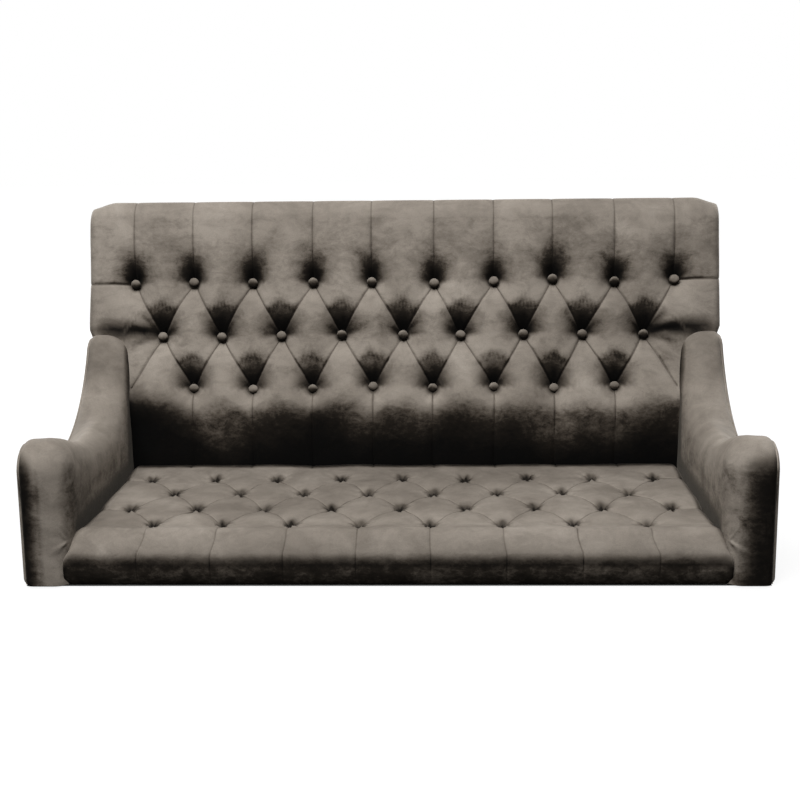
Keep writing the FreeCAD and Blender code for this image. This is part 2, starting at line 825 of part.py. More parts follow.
def seat_upholstery():
    """The tufted pad, the firm foam that it is drawn down on, the hessian and the tuft ties."""
    foam_top = "seat_tuft - cloth"
    room = box("seat_foam_room", "2 * (pad_half - cloth)", "seat_length - cloth - front_foam - 2 * cloth",
               f"{foam_top} + overall_height", "cloth - pad_half", "rail_front", "-overall_height")
    under = below_tuck("seat_pad_room", "rail_front")
    doc.recompute()
    pad = feature("seat_pad", seat_block().cut(room.Shape).cut(under.Shape))
    bores = group("seat_bores", seat_tufts(bore(size.seat_tuft, size.rail_top)))
    slab = box("seat_foam_slab", "2 * (pad_half - cloth - fit_gap)",
               "seat_length - front_foam - 3 * cloth - 2 * fit_gap", f"{foam_top} - fit_gap - deck_top",
               "cloth + fit_gap - pad_half", "rail_front + fit_gap", "deck_top")
    rear = "back_set + post_face * cos(back_lean)"
    side = "frame_half - arm_frame - fit_gap"
    sheet_box = box("seat_hessian_sheet", f"2 * ({side})", f"{rear} - rail_front", "hessian",
                    f"-({side})", "rail_front", "deck_top - hessian")
    ties = seat_tufts(twine(size.seat_tuft - size.cloth - size.fit_gap, size.deck_top - size.hessian))
    return [
        pad,
        cut("seat_foam", slab, bores),
        cut("seat_hessian", sheet_box, bores),
        group("seat_tuft_ties", ties),
    ]


def arm_room(side):
    """The space that an arm takes out of the back's lower corner."""
    x = span_x(side, "pad_half", "pad_half + overall_width")
    return box("arm_room", "overall_width", "2 * overall_depth", "arm_rear_height + overall_height + fit_gap",
               x, "-overall_depth", "-overall_height")


def back_upholstery():
    """The tufted pad, its firm foam, the hessian, the button ties and the buttons."""
    foam_face = "back_tuft + cloth"
    room = raked_box("back_foam_room", "2 * (half_width - cloth)", "overall_depth",
                     "back_rail_top + fit_gap + overall_height",
                     "cloth - half_width", foam_face, "-overall_height")
    arm_rooms = [arm_room(side) for side in (1, -1)]
    slab = raked_box("back_foam_slab", "2 * (half_width - cloth - fit_gap)",
                     f"back_deck - ({foam_face}) - fit_gap", "back_rail_top - back_start",
                     "cloth + fit_gap - half_width", f"{foam_face} + fit_gap", "back_start")
    doc.recompute()
    pad = back_block().cut(room.Shape)
    for arm in arm_rooms:
        pad = pad.cut(arm.Shape)
    bores = group("back_bores", back_tufts(bore(size.back_crown, -size.post_face)))
    foam = cut("back_foam_bored", slab, bores)
    for arm in arm_rooms:
        foam = cut("back_foam_notched", foam, arm)
    foam.Label = "back_foam"
    side = "frame_half - (post_width + arm_frame) / 2"
    sheet_box = raked_box("back_hessian_sheet", f"2 * ({side})", "hessian",
                          "back_rail_top - back_rail_set", f"-({side})", "back_deck", "back_rail_set")
    ties = back_tufts(twine(-size.back_tuft - size.cloth - size.fit_gap, -size.back_deck - size.hessian))
    return [
        feature("back_pad", pad),
        foam,
        cut("back_hessian", sheet_box, bores),
        group("back_button_ties", ties),
        group("back_buttons", back_tufts(covered_button())),
    ]


# Arms


# The soft edge stays under this share of the shoulder that it runs round
SOFT_LIMIT = 0.9


def arm_block(label, side, inset, rear_depth, bottom, inner, outer):
    """An arm-shaped body between two distances from the middle, with square edges."""
    outline = curve.outline(inset, rear_depth, bottom)
    return side_plank(label, outline, f"{outer} - ({inner})", span_x(side, inner, outer))


def soft_radius(inset):
    """The radius of the arm's inner edge at a depth under its cover."""
    return f"min(arm_soft_edge; {SOFT_LIMIT} * arm_shoulder) - {inset}"


def arm_cover(side, name):
    """The velvet with its wadding, which fills the corner under the rounded edge."""
    rear = size.back_deck - size.fit_gap
    outer = arm_block(name + "_arm_outer", side, 0, rear, size.dust_cloth, "arm_inner", "frame_half")
    soften(outer, side, soft_radius(0), is_round=True)
    inner = arm_block(name + "_arm_inner", side, size.cloth, rear + size.back_depth, -size.back_depth,
                      "arm_inner + cloth", "half_width")
    soften(inner, side, soft_radius(size.cloth), is_round=False)
    shell = cut(name + "_arm_shell", outer, inner)
    return cut(name + "_arm_cover", shell, below_tuck(name + "_cover_room", "rail_front - fit_gap"))


def arm_foam(side, name):
    rear = size.back_deck - size.fit_gap
    inset = size.cloth + size.fit_gap
    pad = arm_block(name + "_arm_pad", side, inset, rear, size.dust_cloth,
                    "arm_inner + cloth + fit_gap", "frame_half - fit_gap")
    soften(pad, side, soft_radius(size.cloth), is_round=False)
    timber = arm_block(name + "_arm_timber", side, size.arm_pad, rear + size.back_depth, -size.back_depth,
                       "frame_half - arm_frame - fit_gap", "half_width")
    hollow = cut(name + "_arm_hollow", pad, timber)
    return cut(name + "_arm_foam", hollow, below_tuck(name + "_foam_room", "rail_front - fit_gap"))


def arm_rail_outline():
    """The sawn rail: the arm's curve above, the same sweep and saddle below, flat at both ends."""
    head = size.arm_rear_height - FRAME_INSET
    post_y, post_z = curve.under_rail(RAIL_UNDER)
    front = size.front_y + FRAME_INSET
    turn = math.radians(curve.steep)
    radius = size.arm_sweep + RAIL_UNDER
    tail = (curve.sweep[0] + radius * math.sin(turn), curve.sweep[1] - radius * math.cos(turn))
    saddle_start = math.degrees(math.atan2(post_z - curve.saddle[1], post_y - curve.saddle[0])) + 360
    corners = [(curve.shoulder[0], head), (raked_y(head, size.post_face), head)]
    heel = (raked_y(tail[1], size.post_face), tail[1])
    return curve.crest(FRAME_INSET) + [
        line(corners[0], corners[1]),
        line(corners[1], heel),
        line(heel, tail),
        arc(curve.sweep, radius, 270 + curve.steep, 270),
        arc(curve.saddle, curve.saddle_radius + RAIL_UNDER, 270, saddle_start),
        line((post_y, post_z), (front, post_z)),
        line((front, post_z), (front, curve.nose[1])),
    ]


WELT_SIDES = 6


def arm_welt(side):
    """A welt cord in the corner between the arm cover and the outer board."""
    inset = size.arm_board / 2
    x = side * (size.half_width - size.arm_board / 2)
    front = size.front_y + inset
    top = size.arm_rear_height - inset
    foot = (front, size.dust_cloth)
    edges = [line(foot, (front, curve.nose[1]))] + curve.crest(inset)
    end = raked_y(size.arm_rear_height - size.arm_board, size.panel_face)
    edges.append(line((curve.shoulder[0], top), (end, top)))
    stand = Placement(Vector(x, 0, 0), Rotation(Vector(1, 1, 1), 120))
    path = Part.Wire(Part.__sortEdges__([edge.toShape() for edge in edges]))
    path.Placement = stand
    section = ring(size.welt_radius, size.dust_cloth, WELT_SIDES)
    section.translate(Vector(x, front, 0))
    return path.makePipeShell([section], True, False)


def arm_pieces(side, name):
    frame_x = span_x(side, "frame_half - arm_frame", "frame_half")
    post_y, post_z = curve.under_rail(RAIL_UNDER)
    front = size.front_y + FRAME_INSET
    post = polygon([(front, size.rail_top), (post_y, size.rail_top), (post_y, post_z), (front, post_z)])
    tack = raked_end(post_y, size.tuck_top, size.tack_top)
    tack_x = span_x(side, "frame_half - arm_frame", "frame_half - arm_frame + tack_width")
    board = curve.outline(size.arm_board, size.panel_face, size.dust_cloth)
    return [
        side_plank(name + "_arm_post", post, "arm_frame", frame_x),
        side_plank(name + "_arm_rail", arm_rail_outline(), "arm_frame", frame_x),
        side_plank(name + "_arm_tack_rail", tack, "tack_width", tack_x),
        arm_foam(side, name),
        arm_cover(side, name),
        side_plank(name + "_outer_arm_panel", board, "arm_board",
                   span_x(side, "frame_half", "half_width")),
        feature(name + "_arm_welt", arm_welt(side)),
    ]


def build():
    parts = seat_frame() + base_pieces() + back_frame() + [outer_back()]
    parts += seat_webbing() + back_webbing()
    parts += seat_upholstery() + back_upholstery()
    for side, name in ((1, "right"), (-1, "left")):
        parts += arm_pieces(side, name)
    doc.recompute()
    return parts


def check(parts):
    """Stop unless every object is sound and every piece is a valid solid or group of solids."""
    for obj in doc.Objects:
        if {"Invalid", "Error"} & set(obj.State):
            raise RuntimeError(f"{obj.Label} failed: {obj.State}")
    for part in parts:
        shape = part.Shape
        if shape.isNull() or not shape.isValid() or not shape.Solids:
            raise RuntimeError(f"{part.Label} has no valid solid")
        print(part.Label, len(shape.Solids), "solids", round(shape.Volume / 1000, 1), "cm3")


def write(parts):
    os.makedirs("parts", exist_ok=True)
    for part in parts:
        part.Shape.exportStep(f"parts/{part.Label}.step")


pieces = build()
check(pieces)
write(pieces)
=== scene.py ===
import json
import math

import bmesh
import bpy
import numpy as np
from mathutils import Matrix, Vector


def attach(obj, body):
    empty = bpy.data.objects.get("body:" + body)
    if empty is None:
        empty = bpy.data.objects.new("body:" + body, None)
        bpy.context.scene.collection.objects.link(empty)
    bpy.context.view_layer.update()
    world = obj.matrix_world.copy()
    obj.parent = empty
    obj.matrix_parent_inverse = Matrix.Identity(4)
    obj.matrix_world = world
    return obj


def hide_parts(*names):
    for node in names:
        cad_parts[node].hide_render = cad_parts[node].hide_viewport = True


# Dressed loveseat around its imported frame, in metres: X to the right arm, Y to the back, Z up
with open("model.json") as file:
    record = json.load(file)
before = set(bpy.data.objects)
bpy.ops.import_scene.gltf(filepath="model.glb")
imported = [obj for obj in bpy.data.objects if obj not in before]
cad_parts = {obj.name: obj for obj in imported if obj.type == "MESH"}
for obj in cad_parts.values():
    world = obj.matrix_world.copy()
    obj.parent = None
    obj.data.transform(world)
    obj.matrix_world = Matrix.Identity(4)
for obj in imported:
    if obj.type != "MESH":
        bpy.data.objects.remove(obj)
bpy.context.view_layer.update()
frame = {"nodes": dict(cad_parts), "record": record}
rng = np.random.default_rng(7)

# Sizes of the object, as in its frame
HALF_WIDTH = 0.700
FRONT_Y = -0.385
BACK_LEAN = math.radians(13.2)
BACK_SET = 0.13477
BACK_LENGTH = 0.69077
BACK_ROLL = 0.045
PANEL_FACE = 0.091
BACK_DECK = 0.0525
ARM_INNER = 0.605
ARM_OUTER = 0.6947
SEAT_HALF = 0.6045
FLOOR_GAP = 0.0015


def new_object(name, data):
    obj = bpy.data.objects.new(name, data)
    bpy.context.scene.collection.objects.link(obj)
    return obj


def mesh_object(name, points, faces):
    """A new mesh object from points and faces."""
    mesh = bpy.data.meshes.new(name)
    mesh.from_pydata([tuple(p) for p in points], [], faces)
    mesh.update()
    return new_object(name, mesh)


def close_and_smooth(obj, weld=1e-5):
    """Weld doubled points, fill the open rim, turn the faces outward and shade smoothly."""
    bm = bmesh.new()
    bm.from_mesh(obj.data)
    bmesh.ops.remove_doubles(bm, verts=bm.verts, dist=weld)
    rim = [edge for edge in bm.edges if edge.is_boundary]
    bmesh.ops.holes_fill(bm, edges=rim, sides=0)
    bmesh.ops.recalc_face_normals(bm, faces=bm.faces)
    for face in bm.faces:
        face.smooth = True
    bm.to_mesh(obj.data)
    bm.free()
    return obj


def points_of(obj):
    co = np.zeros(len(obj.data.vertices) * 3)
    obj.data.vertices.foreach_get("co", co)
    return co.reshape(-1, 3)


def set_points(obj, points):
    obj.data.vertices.foreach_set("co", points.astype(np.float32).ravel())
    obj.data.update()


def ease(value, start, end):
    """A share that goes smoothly from 0 at the start to 1 at the end."""
    share = np.clip((value - start) / (end - start), 0, 1)
    return share * share * (3 - 2 * share)


def bell(value, width, power=2):
    """A bump that is 1 at zero and falls off over a width."""
    return np.exp(-((value / width) ** power))


def gaps_to_line(a, b, start, end):
    """How far points lie from a straight line between two ends, in both directions."""
    run = end - start
    share = np.clip(((a - start[0]) * run[0] + (b - start[1]) * run[1]) / (run @ run), 0, 1)
    return a - start[0] - share * run[0], b - start[1] - share * run[1]


def raked(x, up, out):
    """Points of the leaning back: up along its slope, out in front of the button plane."""
    y = BACK_SET + up * math.sin(BACK_LEAN) - out * math.cos(BACK_LEAN)
    z = up * math.cos(BACK_LEAN) + out * math.sin(BACK_LEAN)
    return np.stack([x + 0 * y, y, z], axis=-1)


def raked_y(z, depth):
    """Where the plane at a depth behind the button plane stands at height z."""
    up = (z + depth * math.sin(BACK_LEAN)) / math.cos(BACK_LEAN)
    return BACK_SET + up * math.sin(BACK_LEAN) + depth * math.cos(BACK_LEAN)


# Cloth

CLOTH_FRAMES = 20
CLOTH = {
    "quality": 4,
    "mass": 0.3,
    "tension_stiffness": 14,
    "compression_stiffness": 14,
    "shear_stiffness": 5,
    "bending_stiffness": 0.4,
    "use_pressure": True,
}


def hold_points(obj, weights):
    """A vertex group that says how firmly each point is held."""
    group = obj.vertex_groups.new(name="hold")
    levels = np.round(np.clip(weights, 0, 1), 1)
    for level in np.unique(levels[levels > 0]):
        group.add(np.flatnonzero(levels == level).tolist(), float(level), "REPLACE")
    return group


def fill_out(obj, weights, pressure, slack, cap):
    """Let the velvet swell and settle for a moment; no point may move further than the cap."""
    before = points_of(obj)
    group = hold_points(obj, weights)
    cloth = obj.modifiers.new("cloth", "CLOTH")
    for key, value in CLOTH.items():
        setattr(cloth.settings, key, value)
    cloth.settings.vertex_group_mass = group.name
    cloth.settings.uniform_pressure_force = pressure
    cloth.settings.shrink_min = -slack
    cloth.settings.effector_weights.gravity = 0
    cloth.collision_settings.use_collision = False
    cloth.collision_settings.use_self_collision = False
    cloth.point_cache.frame_start = 1
    cloth.point_cache.frame_end = CLOTH_FRAMES
    for number in range(1, CLOTH_FRAMES + 1):
        bpy.context.scene.frame_set(number)
    shown = obj.evaluated_get(bpy.context.evaluated_depsgraph_get())
    after = np.zeros(len(before) * 3)
    shown.data.vertices.foreach_get("co", after)
    moved = after.reshape(-1, 3) - before
    length = np.maximum(np.linalg.norm(moved, axis=1, keepdims=True), 1e-9)
    obj.modifiers.remove(cloth)
    obj.vertex_groups.remove(group)
    bpy.context.scene.frame_set(1)
    set_points(obj, before + moved / length * (cap * np.tanh(length / cap)))


# Tufted covers

CELL_STEPS = 11
CELL_EASE = 1.45
SAME_PLACE = 1e-5
COVER_PRESSURE = 2.5
COVER_SLACK = 0.03


def bend(over, radius):
    """Distance along, depth and turn of a sheet that goes over a rounded edge."""
    over = np.maximum(over, 0)
    turn = np.minimum(over / radius, math.pi / 2)
    along = radius * np.sin(turn)
    depth = radius * (1 - np.cos(turn)) + np.maximum(over - radius * math.pi / 2, 0)
    return along, depth, turn


def edge_steps(radius, straight, arc_count, straight_count):
    """Offsets past an edge: those round the bend, then those on the straight beyond it."""
    arc = radius * math.pi / 2
    bends = [arc * (n + 1) / arc_count for n in range(arc_count)]
    runs = [arc + straight * (n + 1) / straight_count for n in range(straight_count)]
    return bends, runs


class Cover:
    """A tufted sheet laid out flat in (a, b), bent over its four edges and put in place."""

    def __init__(self, half, low, high, edges, limit):
        self.half = half
        self.low = low
        self.high = high
        self.edges = edges
        self.limit = limit
        self.index = {}
        self.flat = []
        self.faces = []

    def vertex(self, a, b):
        key = (round(a, 6), round(b, 6))
        if key not in self.index:
            self.index[key] = len(self.flat)
            self.flat.append((a, b))
        return self.index[key]

    def add_cell(self, corners):
        """Fill one pad between its corners with a grid that is finest at the pleats."""
        corners = np.array(corners, float)
        centre = corners.mean(axis=0)
        share = (np.arange(CELL_STEPS + 1) / CELL_STEPS) ** CELL_EASE
        across, along = (grid[..., None] for grid in np.meshgrid(share, share, indexing="ij"))
        for number, corner in enumerate(corners):
            after = (corner + corners[(number + 1) % len(corners)]) / 2
            before = (corner + corners[number - 1]) / 2
            grid = (1 - across) * (1 - along) * corner + across * (1 - along) * after
            grid = grid + across * along * centre + (1 - across) * along * before
            ids = [[self.vertex(*point) for point in line] for line in grid]
            self.add_grid(ids)

    def add_grid(self, ids):
        for lower, upper in zip(ids, ids[1:]):
            for n in range(len(lower) - 1):
                self.faces.append((lower[n], lower[n + 1], upper[n + 1], upper[n]))

    def border(self, axis, place):
        """Where the points on one border lie along it."""
        points = np.array(self.flat)
        on_border = abs(points[:, axis] - place) < SAME_PLACE
        return np.unique(np.round(points[on_border, 1 - axis], 6))

    def add_edges(self):
        """Carry the sheet over its four edges; the corner squares beyond both bends stay out."""
        sides = [(sign, self.border(0, sign * self.half)) for sign in (-1, 1)]
        low_a = self.border(1, self.low)
        high_a = self.border(1, self.high)
        side_bends, side_runs = edge_steps(*self.edges["side"])
        low_bends, low_runs = edge_steps(*self.edges["low"])
        high_bends, high_runs = edge_steps(*self.edges["high"])
        for sign, border in sides:
            bs = [self.low - step for step in reversed(low_bends)] + list(border)
            bs += [self.high + step for step in high_bends]
            columns = [self.half] + [self.half + step for step in side_bends + side_runs]
            self.add_grid([[self.vertex(sign * a, b) for b in bs] for a in columns])
        outer = [self.half + step for step in side_bends]
        for border, edge, way, bends, runs in (
            (low_a, self.low, -1, low_bends, low_runs),
            (high_a, self.high, 1, high_bends, high_runs),
        ):
            lines = [edge] + [edge + way * step for step in bends]
            self.add_grid([[self.vertex(a, b) for a in border] for b in lines])
            wide = [-a for a in reversed(outer)] + list(border) + outer
            lines = [edge + way * step for step in bends[-1:] + runs]
            self.add_grid([[self.vertex(a, b) for a in wide] for b in lines])

    def shape(self, relief, place):
        """Points in place: the bent sheet moved along its own normal by the relief."""
        a, b = np.array(self.flat).T
        side_along, side_depth, side_turn = bend(abs(a) - self.half, self.edges["side"][0])
        low_along, low_depth, low_turn = bend(self.low - b, self.edges["low"][0])
        high_along, high_depth, high_turn = bend(b - self.high, self.edges["high"][0])
        x = np.sign(a) * (np.minimum(abs(a), self.half) + side_along)
        up = np.clip(b, self.low, self.high) + high_along - low_along
        depth = side_depth + low_depth + high_depth
        normal = np.stack([
            np.sign(a) * np.sin(side_turn),
            np.sin(high_turn) - np.sin(low_turn),
            np.cos(side_turn) * np.cos(low_turn) * np.cos(high_turn),
        ], axis=-1)
        normal /= np.maximum(np.linalg.norm(normal, axis=1, keepdims=True), 1e-9)
        moved = np.stack([x, up, -depth], axis=-1) + normal * relief(a, b)[:, None]
        moved[:, 2] = np.maximum(moved[:, 2], -self.limit)
        return place(*moved.T)


def nearest(a, b, spots):
    """Distance to the nearest spot, and which one it is."""
    spots = np.array(spots)
    away = np.hypot(a[:, None] - spots[None, :, 0], b[:, None] - spots[None, :, 1])
    which = away.argmin(axis=1)
    return away[np.arange(len(a)), which], which


def dimple(a, b, spots, which, reach, lift, power):
    """Depth share round the nearest tuft; it reaches further above the tuft than below."""
    spots = np.array(spots)
    over = b - spots[which, 1]
    over = np.where(over > 0, over / lift, over)
    away = np.hypot(a - spots[which, 0], over)
    return bell(away, reach, power)


def pleat_distance(a, b, pleats):
    """Distance to the nearest pleat line."""
    best = np.full(len(a), 1e9)
    for start, end in pleats:
        best = np.minimum(best, np.hypot(*gaps_to_line(a, b, np.array(start), np.array(end))))
    return best


def ripples(a, b, away, which, spots, depth, reach, counts):
    """Short folds that run out from each tuft, each tuft with its own number of them."""
    spots = np.array(spots)
    angle = np.arctan2(b - spots[which, 1], a - spots[which, 0])
    folds = counts[which]
    phase = 2.4 * which
    wave = np.cos(folds * angle + phase) + 0.6 * np.cos((folds - 3) * angle + 1.7 * phase)
    swell = math.e * (away / reach) * bell(away, reach)
    return depth * wave * swell / 1.6


def undulation(a, b, size, height):
    """Slow unevenness of hand-filled padding."""
    wave = np.zeros(len(a))
    for turn, stretch, phase in ((0.3, 1.0, 0.4), (1.4, 1.3, 2.2), (2.3, 0.8, 4.1), (2.9, 1.7, 1.1)):
        run = a * math.cos(turn) + b * math.sin(turn)
        wave += np.sin(run * 2 * math.pi / (size * stretch) + phase)
    return wave * height / 4


def tuft_hold(cover, spots, pleats):
    """Tufts, hidden borders and, more loosely, the pleats are held while the cover fills out."""
    a, b = np.array(cover.flat).T
    away, _ = nearest(a, b, spots)
    pleat = pleat_distance(a, b, pleats)
    beyond = np.maximum(np.maximum(abs(a) - cover.half, cover.low - b), 0)
    beyond = np.maximum(beyond, b - cover.high - 0.05)
    held = 0.8 * bell(pleat, 0.003)
    held = np.maximum(held, ease(away, 0.014, 0.008))
    return np.maximum(held, ease(beyond, 0.0, 0.02))


def sew(name, cover, cells, spots, pleats, relief, place, cap):
    """The cover as a mesh: laid out pad by pad, tufted and filled out."""
    for cell in cells:
        cover.add_cell(cell)
    cover.add_edges()
    obj = mesh_object(name, cover.shape(relief, place), cover.faces)
    fill_out(obj, tuft_hold(cover, spots, pleats), COVER_PRESSURE, COVER_SLACK, cap)
    return obj


def tuft_painted_shade(a, b, spots, pleats, reach, core):
    """Painted shade in the tufts and along the pleats; core is the side of a tuft with the deepest
    painted shade.
    """
    away, which = nearest(a, b, spots)
    pleat = pleat_distance(a, b, pleats)
    line = (0.30 + 0.40 * bell(away, 0.03, 1)) * bell(pleat, 0.0011, 1)
    side, widths, lift = core
    width = np.array(widths)[which]
    shaded = 0.95 * dimple(a, side * b, [(x, side * y) for x, y in spots], which, width, lift, 1.7)
    above = ease(side * (b - np.array(spots)[which, 1]), -0.004, 0.006)
    return np.maximum.reduce([bell(away, reach, 3), line, shaded * above])


# Painted light and shade as a point attribute: values above zero paint shade, values below zero paint
# light.
def note_painted_shading(obj, painted_shading):
    values = obj.data.attributes.new("painted_shade", "FLOAT", "POINT")
    values.data.foreach_set("value", painted_shading.astype(np.float32))


# Back cover

BACK_PITCH = 0.1334
BACK_ROWS = ((0.268, 8), (0.3859, 9), (0.5038, 10))
BACK_SIDE_ROLL = 0.016
BACK_FOOT = 0.062
BACK_FACE = 0.022
BACK_BELLY = 0.245
BACK_TUFT = 0.040
# Reach of a tuft's dimple, how much further it goes upward, and its sharpness
BACK_DIMPLE = (0.027, 1.55, 1.25)
BACK_SPREAD = 0.0022
BACK_CAP = 0.008


def row_of(count, pitch):
    return [(n - (count - 1) / 2) * pitch for n in range(count)]


def tuft_rows(marks, pitch, spread):
    """Tuft places row by row, each a little off its mark as sewn by hand."""
    rows = []
    for along, count in marks:
        shift = rng.normal(0, spread, (count, 2))
        rows.append([(x + dx, along + dy) for x, (dx, dy) in zip(row_of(count, pitch), shift)])
    return rows


def back_cells(rows, half, low, high):
    """Pads and pleats of the back: diamonds, uprights above and below, and both sides."""
    lower, middle, upper = rows
    cells = []
    pleats = []
    for n in range(len(middle) - 1):
        cells.append([middle[n], lower[n], middle[n + 1], upper[n + 1]])
    for n in range(len(upper) - 1):
        left, right = upper[n], upper[n + 1]
        cells.append([left, middle[n], right, (right[0], high), (left[0], high)])
    for n in range(len(lower) - 1):
        left, right = lower[n], lower[n + 1]
        cells.append([left, (left[0], low), (right[0], low), right, middle[n + 1]])
    for n, spot in enumerate(middle):
        pleats += [(spot, upper[n]), (spot, upper[n + 1])]
        pleats += [(spot, lower[m]) for m in (n - 1, n) if 0 <= m < len(lower)]
    pleats += [(spot, (spot[0], high + 0.2)) for spot in upper]
    pleats += [(spot, (spot[0], low - 0.2)) for spot in lower]
    for side, end in ((-1, 0), (1, -1)):
        top, mid, bottom = upper[end], middle[end], lower[end]
        corner = (side * 4.5 * BACK_PITCH, BACK_ROWS[0][0])
        rim = side * half
        cells.append([top, (top[0], high), (rim, high), (rim, top[1])])
        cells.append([top, (rim, top[1]), (rim, corner[1]), corner, mid])
        cells.append([mid, corner, (corner[0], low), (bottom[0], low), bottom])
        cells.append([corner, (rim, corner[1]), (rim, low), (corner[0], low)])
        pleats += [(top, (side * (half + 0.2), top[1])), (mid, corner)]
    return cells, pleats


def gathers(a, b, spots):
    """Folds where the cover is drawn from the end buttons of the middle row behind the arms."""
    height = np.zeros(len(a))
    ends = [spot for spot in spots if abs(spot[1] - BACK_ROWS[1][0]) < 0.03]
    for end in (min(ends), max(ends)):
        out = (a - end[0]) * math.copysign(1, end[0])
        away = np.hypot(a - end[0], b - end[1])
        angle = np.arctan2(b - end[1], out)
        sector = bell(angle - 0.15, 0.65)
        swell = bell(away - 0.055, 0.032)
        height += 0.0050 * sector * swell * np.cos(11 * angle + 26 * away)
    return height


def back_relief(spots, pleats, high):
    """Height of the back's velvet over its mean face."""
    folds = rng.integers(7, 12, len(spots))

    def relief(a, b):
        away, which = nearest(a, b, spots)
        pleat = pleat_distance(a, b, pleats)
        field = ease(b, high + 0.02, high - 0.06)
        sides = ease(abs(a), HALF_WIDTH, HALF_WIDTH - 0.07)
        height = 0.006 * field * sides
        height -= BACK_TUFT * dimple(a, b, spots, which, *BACK_DIMPLE)
        height -= 0.0030 * (0.15 + 0.85 * field * sides) * bell(pleat, 0.018, 1.3)
        height -= (0.0010 + 0.0022 * field * sides) * bell(pleat, 0.0020, 1)
        height += ripples(a, b, away, which, spots, 0.0014, 0.026, folds)
        height += gathers(a, b, spots)
        return height + undulation(a, b, 0.21, 0.0018) * field

    return relief


def corner_droop(x, up):
    """How far the back's top corners fall off."""
    aside = ease(abs(x), HALF_WIDTH - 0.055, HALF_WIDTH)
    return 0.013 * aside * ease(up, 0.56, BACK_LENGTH)


def back_place(x, up, out):
    """The back's sheet in place: drooping top corners, and a belly that turns in to the crease."""
    up = up - corner_droop(x, up)
    belly = 0.012 * bell(up - BACK_BELLY, 0.048)
    foot = 0.036 * np.clip((BACK_BELLY - up) / 0.150, 0, 1.3) ** 1.4
    shown = ease(out, -0.06, -0.03)
    behind_arms = 0.009 * ease(abs(x), 0.66, HALF_WIDTH) * ease(up, 0.405, 0.375)
    return raked(x - np.sign(x) * behind_arms, up, out + BACK_FACE + (belly - foot) * shown)


def crease_painted_shade(a, b, lowest):
    """Painted shade toward the crease, unevenly, higher beside the arms and less under a button."""
    wander = 0.016 * np.sin(5.2 * a - 1.2) + 0.014 * np.sin(17 * a + 2.1) + 0.008 * np.sin(43 * a)
    beside = 0.080 * ease(a, -0.40, -0.60) + 0.012 * ease(a, 0.40, 0.60)
    toward = 0.97 * ease(b + wander - beside, 0.245, 0.084)
    for x, up in lowest:
        under = bell(a - x, 0.010) * ease(b, up - 0.07, up - 0.02)
        toward = toward * (1 - 0.45 * under)
    return toward


def drawn_painted_shade(a, b, middle):
    """Painted shade where the cover is drawn behind the arms from the middle row's end buttons."""
    painted_shading = np.zeros(len(a))
    for x, up in (middle[0], middle[-1]):
        out = (a - x) * math.copysign(1, x)
        drawn = 0.75 * bell(b - up - 0.012, 0.020) * ease(out, -0.01, 0.02)
        painted_shading = np.maximum(painted_shading, drawn)
    return painted_shading * ease(abs(a), HALF_WIDTH + 0.01, HALF_WIDTH - 0.05)


def make_back():
    """The tufted inside back with its top roll and its sides."""
    half = HALF_WIDTH - BACK_SIDE_ROLL
    high = BACK_LENGTH - BACK_ROLL
    edges = {
        "side": (BACK_SIDE_ROLL, 0.1, 5, 5),
        "low": (0.02, 0.07, 4, 3),
        "high": (BACK_ROLL, 0.07, 10, 5),
    }
    cover = Cover(half, BACK_FOOT, high, edges, BACK_FACE + PANEL_FACE - 0.0005)
    rows = tuft_rows(BACK_ROWS, BACK_PITCH, BACK_SPREAD)
    spots = sum(rows, [])
    cells, pleats = back_cells(rows, half, BACK_FOOT, high)
    relief = back_relief(spots, pleats, high)
    obj = sew("back_cover", cover, cells, spots, pleats, relief, back_place, BACK_CAP)
    a, b = np.array(cover.flat).T
    widths = [0.025 if up > BACK_ROWS[1][0] + 0.05 else 0.031 for _, up in spots]
    # Painted shade in the tufts, along the pleats, toward the crease and behind the arms; painted light
    # over the side rolls.
    painted_shading = tuft_painted_shade(a, b, spots, pleats, 0.013, (1, widths, 1.5))
    painted_shading = np.maximum.reduce([painted_shading, crease_painted_shade(a, b, rows[0]), drawn_painted_shade(a, b, rows[1])])
    sides = ease(abs(a), half + 0.012, half + 0.024)
    note_painted_shading(obj, painted_shading - (painted_shading + 0.8) * sides)
    return close_and_smooth(obj), spots


# Seat cover

SEAT_PITCH = 0.1347
SEAT_REAR = 0.158
SEAT_FACE = 0.0905
SEAT_ROLL = 0.047
SEAT_SIDE_ROLL = 0.018
SEAT_TUFT = 0.0100
SEAT_HOLE = 0.0010
SEAT_TUCK = 0.015
SEAT_ROWS = ((-0.060, 9), (0.0516, 8), (0.1633, 9), (0.275, 8))
SEAT_SPREAD = 0.0025
SEAT_CAP = 0.007


